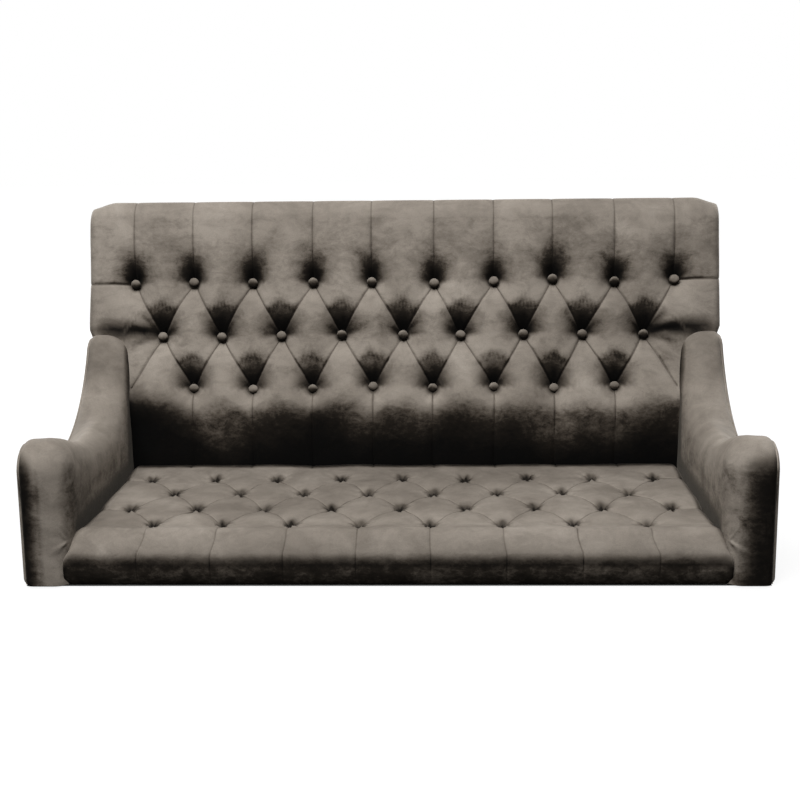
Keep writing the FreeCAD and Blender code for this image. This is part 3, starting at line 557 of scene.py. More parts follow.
def seat_cells(rows, half, low, high):
    """Pads and pleats of the seat in (x, toward the front), from the crease to the front roll."""
    cells = []
    pleats = []
    ends = row_of(8, SEAT_PITCH)
    last = len(rows) - 1
    for number, row in enumerate(rows):
        for n in range(len(row) - 1):
            left, right = row[n], row[n + 1]
            shift = 0 if len(row) == 9 else 1
            behind = [rows[number - 1][n + shift]] if number else [(ends[n], low)]
            ahead = [(right[0], high), (left[0], high)]
            if number < last:
                ahead = [rows[number + 1][n + shift]]
            cells.append([left] + behind + [right] + ahead)
    for n in range(len(ends) - 1):
        cells.append([(ends[n], low), (ends[n + 1], low), rows[0][n + 1]])
    for number in range(last):
        wide, narrow = sorted((rows[number], rows[number + 1]), key=len, reverse=True)
        for n, spot in enumerate(narrow):
            pleats += [(spot, wide[n]), (spot, wide[n + 1])]
    pleats += [(spot, (spot[0], high + 0.3)) for spot in rows[last]]
    pleats += [((x, low + 0.02), (x, low - 0.2)) for x in ends]
    for side, end in ((-1, 0), (1, -1)):
        rear, inner, front, lead = (row[end] for row in rows)
        rim = side * half
        cells.append([rear, (ends[end], low), (rim, low), (rim, rear[1])])
        cells.append([rear, (rim, rear[1]), (rim, front[1]), front, inner])
        cells.append([front, (rim, front[1]), (rim, high), (lead[0], high), lead])
        pleats += [(rear, (side * (half + 0.2), rear[1])), (front, (side * (half + 0.2), front[1]))]
    return cells, pleats


def seat_relief(spots, pleats, low, high):
    """Height of the seat's velvet over its mean face."""
    folds = rng.integers(6, 10, len(spots))

    def relief(a, b):
        away, which = nearest(a, b, spots)
        pleat = pleat_distance(a, b, pleats)
        front = ease(b, high + 0.01, high - 0.07)
        rear = ease(b, low - 0.01, low + 0.06)
        sides = ease(abs(a), SEAT_HALF, SEAT_HALF - 0.08)
        height = 0.004 * rear * (0.4 + 0.6 * sides) * (0.3 + 0.7 * front)
        height += 0.009 * bell(b - high, 0.03)
        apron = ease(b, high + 0.115, high + 0.085)
        height -= SEAT_TUFT * bell(away, 0.034, 1.25) * (0.35 + 0.65 * rear)
        height -= SEAT_HOLE * bell(away, 0.010)
        height -= 0.0030 * (0.1 + 0.9 * front * rear) * bell(pleat, 0.016, 1.3)
        height -= 0.0022 * apron * bell(pleat, 0.0022, 1)
        height += ripples(a, b, away, which, spots, 0.0040, 0.020, folds)
        return height + undulation(a, b, 0.17, 0.0022) * front

    return relief


def seat_place(x, ahead, out):
    """The seat's sheet in place; its front corners swell into the arms' rounded edges."""
    y = -ahead
    into = np.clip(0.034 - (y - FRONT_Y), 0, 0.033)
    swell = np.clip(0.032 - np.sqrt(0.034**2 - into**2), 0, 0.015)
    wide = x * (1 + swell / SEAT_HALF)
    z = out + SEAT_FACE + 0.004 * ease(y, SEAT_REAR - 0.07, SEAT_REAR)
    share = np.clip((SEAT_FACE - SEAT_ROLL - z) / (SEAT_FACE - SEAT_ROLL), 0, 1)
    tucked = np.where(y < FRONT_Y + 0.05, SEAT_TUCK * share**2, 0)
    return np.stack([wide, y + tucked, z], axis=-1)


def make_seat():
    """The tufted seat with its front roll and apron."""
    half = SEAT_HALF - SEAT_SIDE_ROLL
    low = -SEAT_REAR
    high = -FRONT_Y - SEAT_ROLL
    edges = {
        "side": (SEAT_SIDE_ROLL, 0.1, 5, 5),
        "low": (0.014, 0.02, 4, 2),
        "high": (SEAT_ROLL, 0.07, 10, 7),
    }
    cover = Cover(half, low, high, edges, SEAT_FACE - FLOOR_GAP)
    rows = tuft_rows(SEAT_ROWS, SEAT_PITCH, SEAT_SPREAD)
    spots = sum(rows, [])
    cells, pleats = seat_cells(rows, half, low, high)
    relief = seat_relief(spots, pleats, low, high)
    obj = sew("seat_cover", cover, cells, spots, pleats, relief, seat_place, SEAT_CAP)
    a, b = np.array(cover.flat).T
    # Painted shade in the tufts and pleats, beside the arms, evenly over the seat and more toward the
    # crease; a painted dark band low on the front roll, and painted light on the apron below it.
    painted_shading = tuft_painted_shade(a, b, spots, pleats, 0.0125, (-1, [0.016] * len(spots), 1.5))
    rim = 0.7 * ease(abs(a), half, half + 0.014) * ease(b, high + 0.03, high)
    rear = 0.10 + 0.80 * ease(b, low + 0.03, low) + 0.07 * ease(b, 0.1, low)
    face = 0.50 * ease(b, high + 0.047, high + 0.074)
    face -= 1.60 * ease(b, high + 0.067, high + 0.112)
    note_painted_shading(obj, np.maximum.reduce([painted_shading, rim, rear]) + face)
    return close_and_smooth(obj)


# Arms

ARM_NOSE = 0.058
ARM_NOSE_TOP = 0.270
ARM_LOW_Y = FRONT_Y + 0.25795
ARM_LOW_Z = 0.192
ARM_TOP = 0.384
ARM_SHOULDER = 0.040
ARM_TOP_RUN = 0.0784
ARM_SOFT_EDGE = 0.054
ARM_FOOT_EDGE = 0.034
ARM_SEAM_EDGE = 0.016
ARM_VOXEL = 0.0055
ARM_ROOT = -0.09
ARM_HEEL = 0.012
ARM_CROWN_DROP = 0.045
# Painted shade bands on each arm: where they start and are full across the front, and how strong they
# are on the front and on the sweep
ARM_SHADE_BANDS = {1: (0.618, 0.672, 0.66, 0.12), -1: (0.660, 0.688, 0.66, 0.20)}
# Turn and length of the folds at the seat's front corner
ARM_FOLDS = ((-50, 0.034), (-41, 0.046), (-33, 0.054), (-25, 0.044), (62, 0.040))
ARM_PRESSURE = 3.0
ARM_CAP = 0.006


def arc_points(centre, radius, start, end, step=0.004):
    count = max(3, int(abs(end - start) * radius / step))
    turns = np.linspace(start, end, count)
    return np.stack([centre[0] + radius * np.cos(turns), centre[1] + radius * np.sin(turns)], axis=-1)


def arm_curve():
    """The arm's crest in (y, z): nose, saddle, sweep and shoulder, then the level top."""
    nose = (FRONT_Y + ARM_NOSE, ARM_NOSE_TOP - ARM_NOSE)
    run = ARM_LOW_Y - nose[0]
    drop = nose[1] - ARM_LOW_Z
    saddle_radius = (run**2 + drop**2 - ARM_NOSE**2) / (2 * (ARM_NOSE + drop))
    saddle = (ARM_LOW_Y, ARM_LOW_Z + saddle_radius)
    rise = ARM_TOP - ARM_LOW_Z
    rear_y = raked_y(ARM_TOP, BACK_DECK)
    reach_y = rear_y - ARM_TOP_RUN - ARM_LOW_Y
    sweep_radius = (reach_y**2 + rise**2) / (2 * rise) - ARM_SHOULDER
    sweep = (ARM_LOW_Y, ARM_LOW_Z + sweep_radius)
    steep = math.asin(reach_y / (sweep_radius + ARM_SHOULDER))
    nose_end = math.atan2(saddle[1] - nose[1], run)
    shoulder = (ARM_LOW_Y + reach_y, ARM_TOP - ARM_SHOULDER)
    down = 1.5 * math.pi
    return np.concatenate([
        arc_points(nose, ARM_NOSE, math.pi, nose_end),
        arc_points(saddle, saddle_radius, math.pi + nose_end, down)[1:],
        arc_points(sweep, sweep_radius, down, down + steep)[1:],
        arc_points(shoulder, ARM_SHOULDER, math.pi / 2 + steep, math.pi / 2)[1:],
    ])


def side_outline(depth, root):
    """The arm's closed side outline: its crest, a raked rear edge at a depth, and its base."""
    rear = [(raked_y(ARM_TOP, depth), ARM_TOP), (raked_y(root, depth), root), (FRONT_Y, root)]
    return np.concatenate([arm_curve(), rear])


def outline_distance(y, z, outline):
    """Signed distance to a closed outline, negative inside, and its direction."""
    best = np.full(len(y), 1e9)
    toward = np.zeros((len(y), 2))
    inside = np.zeros(len(y), bool)
    for start, end in zip(outline, np.roll(outline, -1, axis=0)):
        run = end - start
        gap_y, gap_z = gaps_to_line(y, z, start, end)
        away = np.hypot(gap_y, gap_z)
        closer = away < best
        best = np.where(closer, away, best)
        toward[closer] = np.stack([gap_y, gap_z], axis=-1)[closer]
        if run[1]:
            crosses = (start[1] > z) != (end[1] > z)
            inside ^= crosses & (y < start[0] + run[0] * (z - start[1]) / run[1])
    sign = np.where(inside, -1.0, 1.0)
    toward *= (sign / np.maximum(best, 1e-9))[:, None]
    return best * sign, toward


def rounded_edge(first, first_way, second, second_way, radius):
    """Distance to two faces that meet in a rounded edge, and its direction."""
    one = first + radius
    two = second + radius
    corner = (one > 0) & (two > 0)
    length = np.maximum(np.hypot(one, two), 1e-9)
    distance = np.where(corner, length, np.maximum(one, two)) - radius
    share_one = np.where(corner, one / length, (one >= two).astype(float))
    share_two = np.where(corner, two / length, (one < two).astype(float))
    return distance, share_one[:, None] * first_way + share_two[:, None] * second_way


def settle_on_arm(points, outline):
    """Move points of a right arm on to its rounded form."""
    for _ in range(5):
        side, way = outline_distance(points[:, 1], points[:, 2], outline)
        soft = ARM_FOOT_EDGE + (ARM_SOFT_EDGE - ARM_FOOT_EDGE) * ease(points[:, 2], -0.02, 0.26)
        side_way = np.concatenate([np.zeros((len(points), 1)), way], axis=1)
        inward = np.array([[-1.0, 0, 0]])
        outward = np.array([[1.0, 0, 0]])
        inner, inner_way = rounded_edge(side, side_way, ARM_INNER - points[:, 0], inward, soft)
        outer, outer_way = rounded_edge(side, side_way, points[:, 0] - ARM_OUTER, outward, ARM_SEAM_EDGE)
        is_inner = inner > outer
        distance = np.where(is_inner, inner, outer)
        direction = np.where(is_inner[:, None], inner_way, outer_way)
        points = points - distance[:, None] * direction
    return points


def relax(obj, times):
    """Even out a mesh's points."""
    bm = bmesh.new()
    bm.from_mesh(obj.data)
    for _ in range(times):
        bmesh.ops.smooth_vert(
            bm, verts=bm.verts, factor=0.5, use_axis_x=True, use_axis_y=True, use_axis_z=True
        )
    bm.to_mesh(obj.data)
    bm.free()


def apply_modifier(obj, modifier):
    bpy.context.view_layer.objects.active = obj
    bpy.ops.object.modifier_apply(modifier=modifier.name)


def arm_hold(points):
    """The arm is held at its outer seam, under the seat, at its rear and at its base."""
    x, y, z = points.T
    held = ease(x, 0.672, 0.686)
    held = np.maximum(held, ease(z, 0.14, 0.10))
    return np.maximum(held, ease(y, 0.10, 0.15))


def arm_crown(points):
    """The padding stands higher toward the seat, so the saddle is shallower there than at the seam."""
    x, y, z = points.T
    crest = arm_curve()
    order = np.argsort(crest[:, 0])
    height = np.interp(y, crest[order, 0], crest[order, 1])
    nose_y = FRONT_Y + ARM_NOSE
    wanted = ARM_NOSE_TOP - ARM_CROWN_DROP * ease(y, nose_y, ARM_LOW_Y)
    low = ARM_NOSE_TOP - ARM_CROWN_DROP - ARM_LOW_Z
    lift = np.where(y < ARM_LOW_Y, np.maximum(wanted - height, 0), low * ease(y, 0.09, ARM_LOW_Y))
    lift = lift * ease(y, nose_y - 0.01, nose_y + 0.03)
    lift = lift * ease(x, 0.692, 0.640) * ease(z / height, 0.3, 1.0)
    return lift[:, None] * (0, 0, 1)


def arm_painted_shading(points, shade_band):
    """Painted shade where the arm meets seat and back, over its outer front edge and on its sweep;
    painted light on the inner part of its front.
    """
    x, y, z = points.T
    inner = ease(x, 0.626, 0.607)
    behind = y - FRONT_Y
    beside_seat = 0.75 * inner * ease(z, 0.135, 0.095) * ease(behind, 0.03, 0.08)
    face = BACK_SET + z * math.tan(BACK_LEAN) - BACK_FACE
    beside_back = 0.8 * inner * ease(face - y, 0.05, 0.0)
    start, full, strength, upper = shade_band
    front = ease(behind, 0.06, 0.02) * ease(z, 0.262, 0.225)
    # Painted highlight on the inner part of the arm's front.
    painted_highlight = front * ease(x, start, start - 0.01) * ease(x, 0.606, 0.63)
    edge = strength * front * ease(x, start, full)
    sweep = upper * ease(z, 0.24, 0.33)
    painted_shading = np.maximum.reduce([beside_seat, beside_back, edge, sweep])
    return np.where(painted_shading > 0.05, painted_shading, -painted_highlight)


def arm_folds(points):
    """Stretch folds that fan out from the seat's front corner over the front of the arm."""
    x, y, z = points.T
    across = x - 0.612
    above = z - 0.084
    front = ease(y - FRONT_Y, 0.05, 0.02)
    lift = np.zeros(len(x))
    for degrees, reach in ARM_FOLDS:
        turn = math.radians(degrees)
        along = across * math.cos(turn) + above * math.sin(turn)
        beside = above * math.cos(turn) - across * math.sin(turn)
        width = 0.0018 + 0.018 * np.clip(along, 0, reach)
        run = ease(along, -0.002, 0.008) * ease(along, reach, 0.3 * reach)
        lift += 0.0010 * run * bell(beside, width)
    return (lift * front)[:, None] * (0, -1, 0)


def drawn_in(y, z):
    """How far the outer side turns in under the base, toward its front."""
    low = np.clip((ARM_HEEL - z) / ARM_HEEL, 0, 1)
    return ARM_HEEL * (1 - np.sqrt(1 - low**2)) * ease(y - FRONT_Y, 0.16, 0.04)


def stand_on_base(points):
    """Cut the arm off level at its base, with its outer lower edge rounded."""
    x, y, z = points.T
    z = np.maximum(z, FLOOR_GAP)
    x = np.where(x > 0.65, np.minimum(x, ARM_OUTER - drawn_in(y, z)), x)
    return np.stack([x, y, z], axis=-1)


def arm_form():
    """Points and faces of a right arm: one closed form with soft edges, filled out and crowned."""
    outline = side_outline(BACK_DECK - 0.0005, ARM_ROOT)
    count = len(outline)
    rings = [np.column_stack([np.full(count, x), outline]) for x in (ARM_INNER, ARM_OUTER)]
    faces = [tuple(range(count)), tuple(range(2 * count - 1, count - 1, -1))]
    faces += [(n, n + count, (n + 1) % count + count, (n + 1) % count) for n in range(count)]
    obj = mesh_object("arm_form", np.concatenate(rings), faces)
    remesh = obj.modifiers.new("even", "REMESH")
    remesh.mode = "VOXEL"
    remesh.voxel_size = ARM_VOXEL
    apply_modifier(obj, remesh)
    set_points(obj, settle_on_arm(points_of(obj), outline))
    relax(obj, 3)
    set_points(obj, settle_on_arm(points_of(obj), outline))
    fill_out(obj, arm_hold(points_of(obj)), ARM_PRESSURE, 0.0, ARM_CAP)
    finer = obj.modifiers.new("finer", "SUBSURF")
    finer.levels = 1
    apply_modifier(obj, finer)
    points = points_of(obj)
    points = points + arm_crown(points) + arm_folds(points)
    faces = [tuple(face.vertices) for face in obj.data.polygons]
    bpy.data.objects.remove(obj)
    return points, faces


def make_arm(side, name, form):
    """The padded arm of one side."""
    points, faces = form
    painted_shading = arm_painted_shading(points, ARM_SHADE_BANDS[side])
    points = stand_on_base(points) * (side, 1, 1)
    obj = mesh_object(name, points, faces)
    note_painted_shading(obj, painted_shading)
    return close_and_smooth(obj, 0.0004)


# Outer arm panels and their welts

PANEL_INSET = 0.013
# Way in from the outline, and place in x, of the panel's softened border
PANEL_EDGE = ((0.0130, 0.6935), (0.0132, 0.6962), (0.0142, 0.6983), (0.0165, 0.6995), (0.0200, 0.6999))
PANEL_ROOT = -0.0115
PANEL_ROWS = 36
WELT_INSET = 0.0108
WELT_X = 0.6944
WELT_RADIUS = 0.0023
WELT_SIDES = 10


def inset_outline(outline, inset):
    """The outline moved inward, with mitred corners."""
    before = outline - np.roll(outline, 1, axis=0)
    after = np.roll(outline, -1, axis=0) - outline
    ways = [run / np.linalg.norm(run, axis=1, keepdims=True) for run in (before, after)]
    normals = [np.stack([way[:, 1], -way[:, 0]], axis=-1) for way in ways]
    middle = normals[0] + normals[1]
    middle /= np.linalg.norm(middle, axis=1, keepdims=True)
    reach = inset / np.maximum((middle * normals[0]).sum(axis=1), 0.3)
    return outline + middle * reach[:, None]


def panel_outline():
    """Outline of the arm's outer face."""
    return side_outline(PANEL_FACE + PANEL_INSET, PANEL_ROOT)


def even_ends(count):
    """Shares from 0 to 1 that lie closer together at both ends."""
    return 0.5 - 0.5 * np.cos(np.linspace(0, math.pi, count))


def grid_faces(columns, rows):
    faces = []
    for column in range(columns - 1):
        for row in range(rows - 1):
            low = column * rows + row
            faces.append((low, low + rows, low + rows + 1, low + 1))
    return faces


def ring_faces(base, rings, sides):
    """Faces of a tube between rings of points that start at base."""
    faces = []
    for low in range(base, base + (rings - 1) * sides, sides):
        for n in range(sides):
            after = (n + 1) % sides
            faces.append((low + n, low + after, low + sides + after, low + sides + n))
    return faces


def make_panel(side, name):
    """The velvet-covered outer side of an arm, with a softened border."""
    outline = panel_outline()
    border = inset_outline(outline, PANEL_INSET)
    crest, (rear_top, rear_foot, front_foot) = border[:-3], border[-3:]
    level = np.linspace(crest[-1], rear_top, 12)[1:]
    top = np.concatenate([crest, level])
    foot = np.interp(top[:, 0], *zip(front_foot, rear_foot, rear_top))
    shares = even_ends(PANEL_ROWS)
    y = np.repeat(top[:, 0], PANEL_ROWS)
    z = (foot[:, None] + (top[:, 1] - foot)[:, None] * shares).ravel()
    inside, _ = outline_distance(y, z, outline)
    x = np.interp(-inside, *zip(*PANEL_EDGE)) - drawn_in(y, z)
    points = np.stack([side * x, y, z], axis=-1)
    obj = mesh_object(name, points, grid_faces(len(top), PANEL_ROWS))
    # Painted light, evenly over the outer panel.
    note_painted_shading(obj, np.full(len(points), -0.9))
    return close_and_smooth(obj, 1e-6)


def make_welt(side, name):
    """A thin covered cord round the outer panel, from the front foot over the crest to the rear."""
    outline = inset_outline(panel_outline(), WELT_INSET)
    path = np.concatenate([outline[-1:], outline[:-2]])
    runs = np.gradient(path, axis=0)
    runs /= np.linalg.norm(runs, axis=1, keepdims=True)
    points = []
    for (y, z), (run_y, run_z) in zip(path, runs):
        for n in range(WELT_SIDES):
            turn = 2 * math.pi * n / WELT_SIDES
            across = WELT_RADIUS * math.cos(turn)
            x = WELT_X + WELT_RADIUS * math.sin(turn) - drawn_in(y, z)
            points.append((side * x, y - across * run_z, z + across * run_y))
    obj = mesh_object(name, points, ring_faces(0, len(path), WELT_SIDES))
    return close_and_smooth(obj, 1e-6)


# Outer back

OUTER_BACK_DEPTH = 0.0955
OUTER_BACK_EDGE = 0.010
OUTER_BACK_COLUMNS = 90
OUTER_BACK_ROWS = 50


def make_outer_back():
    """The velvet-covered board that closes the back, with softened edges and a slight fullness."""
    x = np.repeat((2 * even_ends(OUTER_BACK_COLUMNS) - 1) * HALF_WIDTH, OUTER_BACK_ROWS)
    shares = np.tile(even_ends(OUTER_BACK_ROWS), OUTER_BACK_COLUMNS)
    foot = (FLOOR_GAP + OUTER_BACK_DEPTH * math.sin(BACK_LEAN)) / math.cos(BACK_LEAN)
    top = BACK_LENGTH - corner_droop(x, BACK_LENGTH)
    up = foot + (top - foot) * shares
    depth = OUTER_BACK_DEPTH - PANEL_FACE
    full = np.ones(len(x))
    for inside in (HALF_WIDTH - abs(x), up - foot, top - up):
        near = np.clip(inside / OUTER_BACK_EDGE, 0, 1)
        full *= 0.75 * np.sqrt(1 - (1 - near) ** 2) + 0.25 * ease(inside, 0, 0.12)
    points = raked(x, up, -PANEL_FACE - depth * full)
    obj = mesh_object("outer_back", points, grid_faces(OUTER_BACK_COLUMNS, OUTER_BACK_ROWS))
    # Painted light, evenly over the outer back.
    note_painted_shading(obj, np.full(len(points), -1.5))
    return close_and_smooth(obj, 1e-6)


# Buttons

BUTTON_RADIUS = 0.0108
BUTTON_SIDES = 28
BUTTON_OUT = 0.0035
# Share of the radius, and height, from the back of a button to its crest
BUTTON_PROFILE = (
    (0.30, -0.0060), (0.62, -0.0045), (0.86, -0.0026), (0.97, -0.0008), (1.0, 0.0010),
    (0.975, 0.0026), (0.90, 0.0040), (0.76, 0.0053), (0.56, 0.0062), (0.30, 0.0068), (0.08, 0.0070),
)


def make_buttons(spots):
    """All covered buttons, each tipped a little its own way."""
    points = []
    faces = []
    for x, up in spots:
        tip = rng.normal((0.0, 0.22), 0.13)
        base = len(points)
        for share, height in BUTTON_PROFILE:
            for n in range(BUTTON_SIDES):
                turn = 2 * math.pi * n / BUTTON_SIDES
                across = BUTTON_RADIUS * share * math.cos(turn)
                along = BUTTON_RADIUS * share * math.sin(turn)
                out = BUTTON_OUT + height + tip[0] * across + tip[1] * along
                points.append(raked(np.float64(x + across), up + along, out))
        rings = len(BUTTON_PROFILE)
        faces += ring_faces(base, rings, BUTTON_SIDES)
        faces.append(tuple(base + n for n in reversed(range(BUTTON_SIDES))))
        last = base + (rings - 1) * BUTTON_SIDES
        faces.append(tuple(last + n for n in range(BUTTON_SIDES)))
    obj = mesh_object("buttons", points, faces)
    # Painted shade, evenly over the buttons.
    note_painted_shading(obj, np.full(len(points), 0.16))
    return close_and_smooth(obj, 1e-7)


# Materials


class Shader:
    """A small helper that builds a node material; values between its nodes are sockets."""

    def __init__(self, name):
        self.material = bpy.data.materials.new(name)
        self.material.use_nodes = True
        self.tree = self.material.node_tree
        self.surface = self.tree.nodes["Principled BSDF"]

    def fill(self, node, inputs):
        """Link or set a node's inputs, given by name or number."""
        for key, value in inputs.items():
            if isinstance(value, bpy.types.NodeSocket):
                self.tree.links.new(value, node.inputs[key])
            else:
                node.inputs[key].default_value = value

    def node(self, kind, inputs=None, **settings):
        made = self.tree.nodes.new(kind)
        for key, value in settings.items():
            setattr(made, key, value)
        self.fill(made, inputs or {})
        return made

    def place(self):
        return self.node("ShaderNodeTexCoord").outputs["Object"]

    def math(self, operation, *values):
        made = self.node("ShaderNodeMath", dict(enumerate(values)), operation=operation)
        return made.outputs["Value"]

    def noise(self, scale, detail, rough, stretch=(1, 1, 1), distortion=0.0):
        mapped = self.node("ShaderNodeMapping", {"Vector": self.place(), "Scale": stretch})
        inputs = {"Vector": mapped.outputs["Vector"], "Scale": scale, "Detail": detail}
        inputs.update({"Roughness": rough, "Distortion": distortion})
        return self.node("ShaderNodeTexNoise", inputs).outputs["Fac"]

    def ramp(self, source, *stops):
        made = self.node("ShaderNodeValToRGB", {"Fac": source})
        elements = made.color_ramp.elements
        while len(elements) < len(stops):
            elements.new(0.5)
        for element, (position, colour) in zip(elements, stops):
            element.position = position
            element.color = (*colour, 1)
        return made.outputs["Color"]

    def blend(self, first, second, factor, mode):
        inputs = {"Factor": factor, 6: first, 7: second}
        return self.node("ShaderNodeMix", inputs, data_type="RGBA", blend_type=mode).outputs[2]

    def bump(self, height, strength, distance, under=None):
        inputs = {"Height": height, "Strength": strength, "Distance": distance}
        if under:
            inputs["Normal"] = under
        return self.node("ShaderNodeBump", inputs).outputs["Normal"]

    def finish(self, inputs):
        """Set the surface and give the material."""
        self.fill(self.surface, inputs)
        return self.material


def grey(level):
    return (level, level, level)


def shade_by_facing(shader, painted_shade_in, strokes, clouds, patches):
    """Painted light and shade by how far a face turns up, with a ragged border: faces turned down are
    painted darker.

    Painted shade from the point attribute darkens as if the face were turned down, and painted light
    lightens as if it were turned up.
    """
    normal = shader.node("ShaderNodeNewGeometry").outputs["Normal"]
    turned = shader.node("ShaderNodeSeparateXYZ", {"Vector": normal}).outputs["Z"]
    flecks = shader.noise(110, 6.0, 0.75, (0.7, 0.7, 1.1), 0.3)
    layers = ((painted_shade_in, -0.30), (strokes, 0.40), (flecks, 0.50), (patches, 0.45), (clouds, 0.65))
    for layer, amount in layers:
        turned = shader.math("MULTIPLY_ADD", layer, amount, turned)
    share = shader.node("ShaderNodeMapRange", {"Value": turned, "From Max": 2.0}).outputs["Result"]
    return shader.ramp(
        share,
        (0.28, (0.02, 0.017, 0.014)),
        (0.40, (0.12, 0.108, 0.096)),
        (0.46, (0.36, 0.34, 0.32)),
        (0.53, (0.70, 0.69, 0.68)),
        (0.65, grey(1.0)),
    )


def velvet():
    """Grey-brown velvet, painted darker on faces that turn down and where the point attribute paints
    shade, lighter where it paints light.
    """
    shader = Shader("velvet")
    patches = shader.noise(4.5, 6.0, 0.6, (1, 1, 0.8), 0.8)
    strokes = shader.noise(38, 7.0, 0.72, (0.6, 0.6, 1.1), 0.6)
    clouds = shader.noise(13, 7.0, 0.66, (1, 1, 0.9), 0.7)
    pile = shader.noise(620, 2.0, 0.6)
    painted_shade_in = shader.node("ShaderNodeAttribute", attribute_name="painted_shade").outputs["Fac"]
    colour = shader.ramp(
        patches,
        (0.28, (0.205, 0.178, 0.150)),
        (0.50, (0.290, 0.255, 0.217)),
        (0.70, (0.375, 0.333, 0.287)),
    )
    brushed = shader.ramp(strokes, (0.30, (0.62, 0.61, 0.60)), (0.58, grey(1.0)))
    grain = shader.ramp(pile, (0.3, grey(0.80)), (0.7, grey(1.1)))
    # Painted light and shade by how far each face turns up.
    facing_shade = shade_by_facing(shader, painted_shade_in, strokes, clouds, patches)
    # Painted shade from the point attribute, with a ragged border from the cloud noise.
    ragged_shade = shader.math("MULTIPLY", painted_shade_in, shader.math("MULTIPLY_ADD", clouds, 2.0, 0.05))
    painted_shading = shader.ramp(
        ragged_shade, (0.03, grey(1.0)), (0.42, (0.40, 0.385, 0.37)), (0.85, (0.04, 0.035, 0.03))
    )
    for layer, share in ((brushed, 0.6), (grain, 0.6), (facing_shade, 1.0), (painted_shading, 1.0)):
        colour = shader.blend(colour, layer, share, "MULTIPLY")
    fine = shader.bump(pile, 0.25, 0.0006)
    return shader.finish({
        "Base Color": colour,
        "Roughness": shader.ramp(strokes, (0.3, grey(0.75)), (0.7, grey(0.95))),
        "Normal": shader.bump(strokes, 0.30, 0.0014, fine),
        "Specular IOR Level": 0.15,
        "Sheen Weight": 0.20,
        "Sheen Roughness": 0.30,
        "Sheen Tint": (0.86, 0.77, 0.66, 1),
    })


def timber():
    """Pale sawn frame timber with its grain along the length."""
    shader = Shader("timber")
    grain = shader.noise(9, 6.0, 0.6, (0.35, 6, 6), 1.2)
    return shader.finish({
        "Base Color": shader.ramp(grain, (0.3, (0.42, 0.29, 0.17)), (0.7, (0.62, 0.47, 0.31))),
        "Normal": shader.bump(grain, 0.3, 0.001),
        "Roughness": 0.7,
    })


def woven(name, dark, light, scale):
    """Plain weave for webbing, hessian, twine and the cloth under the base."""
    shader = Shader(name)
    inputs = {"Vector": shader.place(), "Scale": scale}
    waves = [shader.node("ShaderNodeTexWave", inputs, bands_direction=way) for way in ("X", "Y")]
    weave = shader.blend(waves[0].outputs["Color"], waves[1].outputs["Color"], 0.5, "MIX")
    return shader.finish({
        "Base Color": shader.ramp(weave, (0.0, dark), (1.0, light)),
        "Normal": shader.bump(weave, 0.4, 0.0006),
        "Roughness": 0.9,
    })


def zinc():
    """Zinc plated steel with a light spangle."""
    shader = Shader("zinc")
    spangle = shader.noise(160, 3.0, 0.6)
    return shader.finish({
        "Base Color": shader.ramp(spangle, (0.3, (0.52, 0.53, 0.54)), (0.7, (0.72, 0.73, 0.74))),
        "Roughness": shader.ramp(spangle, (0.3, grey(0.28)), (0.7, grey(0.42))),
        "Metallic": 1.0,
    })


MATERIALS = {
    "velvet": velvet(),
    "timber": timber(),
    "webbing": woven("webbing", (0.30, 0.25, 0.17), (0.52, 0.45, 0.33), 90),
    "hessian": woven("hessian", (0.30, 0.23, 0.14), (0.50, 0.41, 0.28), 120),
    "twine": woven("twine", (0.45, 0.40, 0.31), (0.70, 0.64, 0.52), 260),
    "dust_cloth": woven("dust_cloth", (0.012, 0.012, 0.012), (0.035, 0.035, 0.034), 200),
    "zinc": zinc(),
}


def paint(obj, slot):
    obj.data.materials.clear()
    obj.data.materials.append(MATERIALS[slot])


def dress(obj, *nodes):
    """Give a new piece its velvet and its body, and hide the nodes that it stands for."""
    paint(obj, "velvet")
    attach(obj, "root")
    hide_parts(*nodes)


# Pieces

back, button_spots = make_back()
dress(back, "back_pad", "back_foam", "back_hessian")

seat = make_seat()
dress(seat, "seat_pad", "seat_foam", "seat_hessian")

arm_shape = arm_form()
for side, side_name in ((1, "right"), (-1, "left")):
    arm = make_arm(side, side_name + "_arm", arm_shape)
    dress(arm, side_name + "_arm_cover", side_name + "_arm_foam")
    dress(make_panel(side, side_name + "_outer_panel"), side_name + "_outer_arm_panel")
    dress(make_welt(side, side_name + "_welt"), side_name + "_arm_welt")

dress(make_outer_back(), "outer_back_panel")
dress(make_buttons(button_spots), "back_buttons")

for part in frame["record"]["subparts"]:
    node = frame["nodes"][part["node"]]
    if not node.hide_render:
        paint(node, part["material_slot"])


# Camera at the photograph's angle

CAMERA_PLACE = Vector((0.0918, -2.8145, 0.8567))
CAMERA_PITCH = 0.204
CAMERA_YAW = -0.033
CAMERA_ROLL = -0.0116
CAMERA_LENS = 62.1


def make_camera():
    data = bpy.data.cameras.new("camera")
    data.lens = CAMERA_LENS
    camera = new_object("camera", data)
    yaw = Matrix.Rotation(-CAMERA_YAW, 4, "Z")
    pitch = Matrix.Rotation(math.pi / 2 - CAMERA_PITCH, 4, "X")
    roll = Matrix.Rotation(CAMERA_ROLL, 4, "Z")
    camera.matrix_world = Matrix.Translation(CAMERA_PLACE) @ yaw @ pitch @ roll
    bpy.context.scene.camera = camera


make_camera()


# Floor, light and background

FLOOR_SIZE = 30


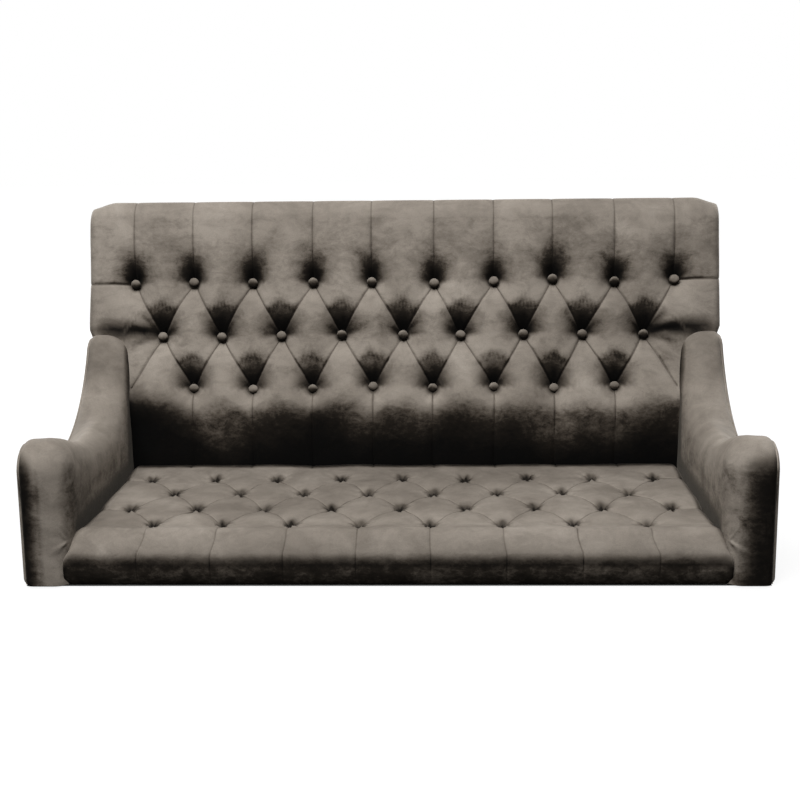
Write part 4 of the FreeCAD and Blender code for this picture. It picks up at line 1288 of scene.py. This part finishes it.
def make_floor():
    """A pale floor that is white to the camera far off and keeps the object's shadow."""
    half = FLOOR_SIZE / 2
    corners = [(x * half, y * half, -FLOOR_GAP) for x, y in ((-1, -1), (1, -1), (1, 1), (-1, 1))]
    floor = mesh_object("floor", corners, [(0, 1, 2, 3)])
    shader = Shader("floor")
    seen = shader.node("ShaderNodeLightPath").outputs["Is Camera Ray"]
    reach = shader.node("ShaderNodeVectorMath", {0: shader.place()}, operation="LENGTH")
    inputs = {"Value": reach.outputs["Value"], "From Min": 0.9, "From Max": 2.6, "To Min": 0.86}
    far = shader.node("ShaderNodeMapRange", inputs, interpolation_type="SMOOTHSTEP")
    material = shader.finish({
        "Base Color": shader.blend((*grey(0.06), 1), (*grey(0.16), 1), seen, "MIX"),
        "Roughness": 0.9,
        "Specular IOR Level": 0.0,
        "Emission Color": (1, 1, 1, 1),
        "Emission Strength": shader.math("MULTIPLY", far.outputs["Result"], seen),
    })
    floor.data.materials.append(material)


def area_light(name, place, target, size, power):
    data = bpy.data.lights.new(name, "AREA")
    data.shape = "RECTANGLE"
    data.size, data.size_y = size
    data.energy = power
    light = new_object(name, data)
    light.location = place
    light.rotation_mode = "QUATERNION"
    light.rotation_quaternion = (Vector(target) - Vector(place)).to_track_quat("-Z", "Y")


def make_world():
    """White where the camera sees it, and a low even light elsewhere."""
    world = bpy.data.worlds.new("world")
    bpy.context.scene.world = world
    world.use_nodes = True
    nodes = world.node_tree.nodes
    links = world.node_tree.links
    background = nodes["Background"]
    background.inputs["Color"].default_value = (1, 1, 1, 1)
    path = nodes.new("ShaderNodeLightPath")
    strength = nodes.new("ShaderNodeMix")
    strength.inputs["A"].default_value = 0.04
    strength.inputs["B"].default_value = 1.0
    links.new(path.outputs["Is Camera Ray"], strength.inputs["Factor"])
    links.new(strength.outputs["Result"], background.inputs["Strength"])


make_floor()
make_world()
area_light("key", (-0.50, -2.0, 2.8), (0.0, 0.0, 0.25), (2.4, 1.2), 116)
area_light("overhead", (-0.1, 0.1, 2.8), (0.0, 0.0, 0.25), (2.2, 0.9), 16)
for side in (1, -1):
    area_light("rear", (side * 2.4, 2.0, 1.3), (0.0, 0.1, 0.3), (1.4, 1.0), 62)
bpy.context.scene.view_settings.view_transform = "Standard"
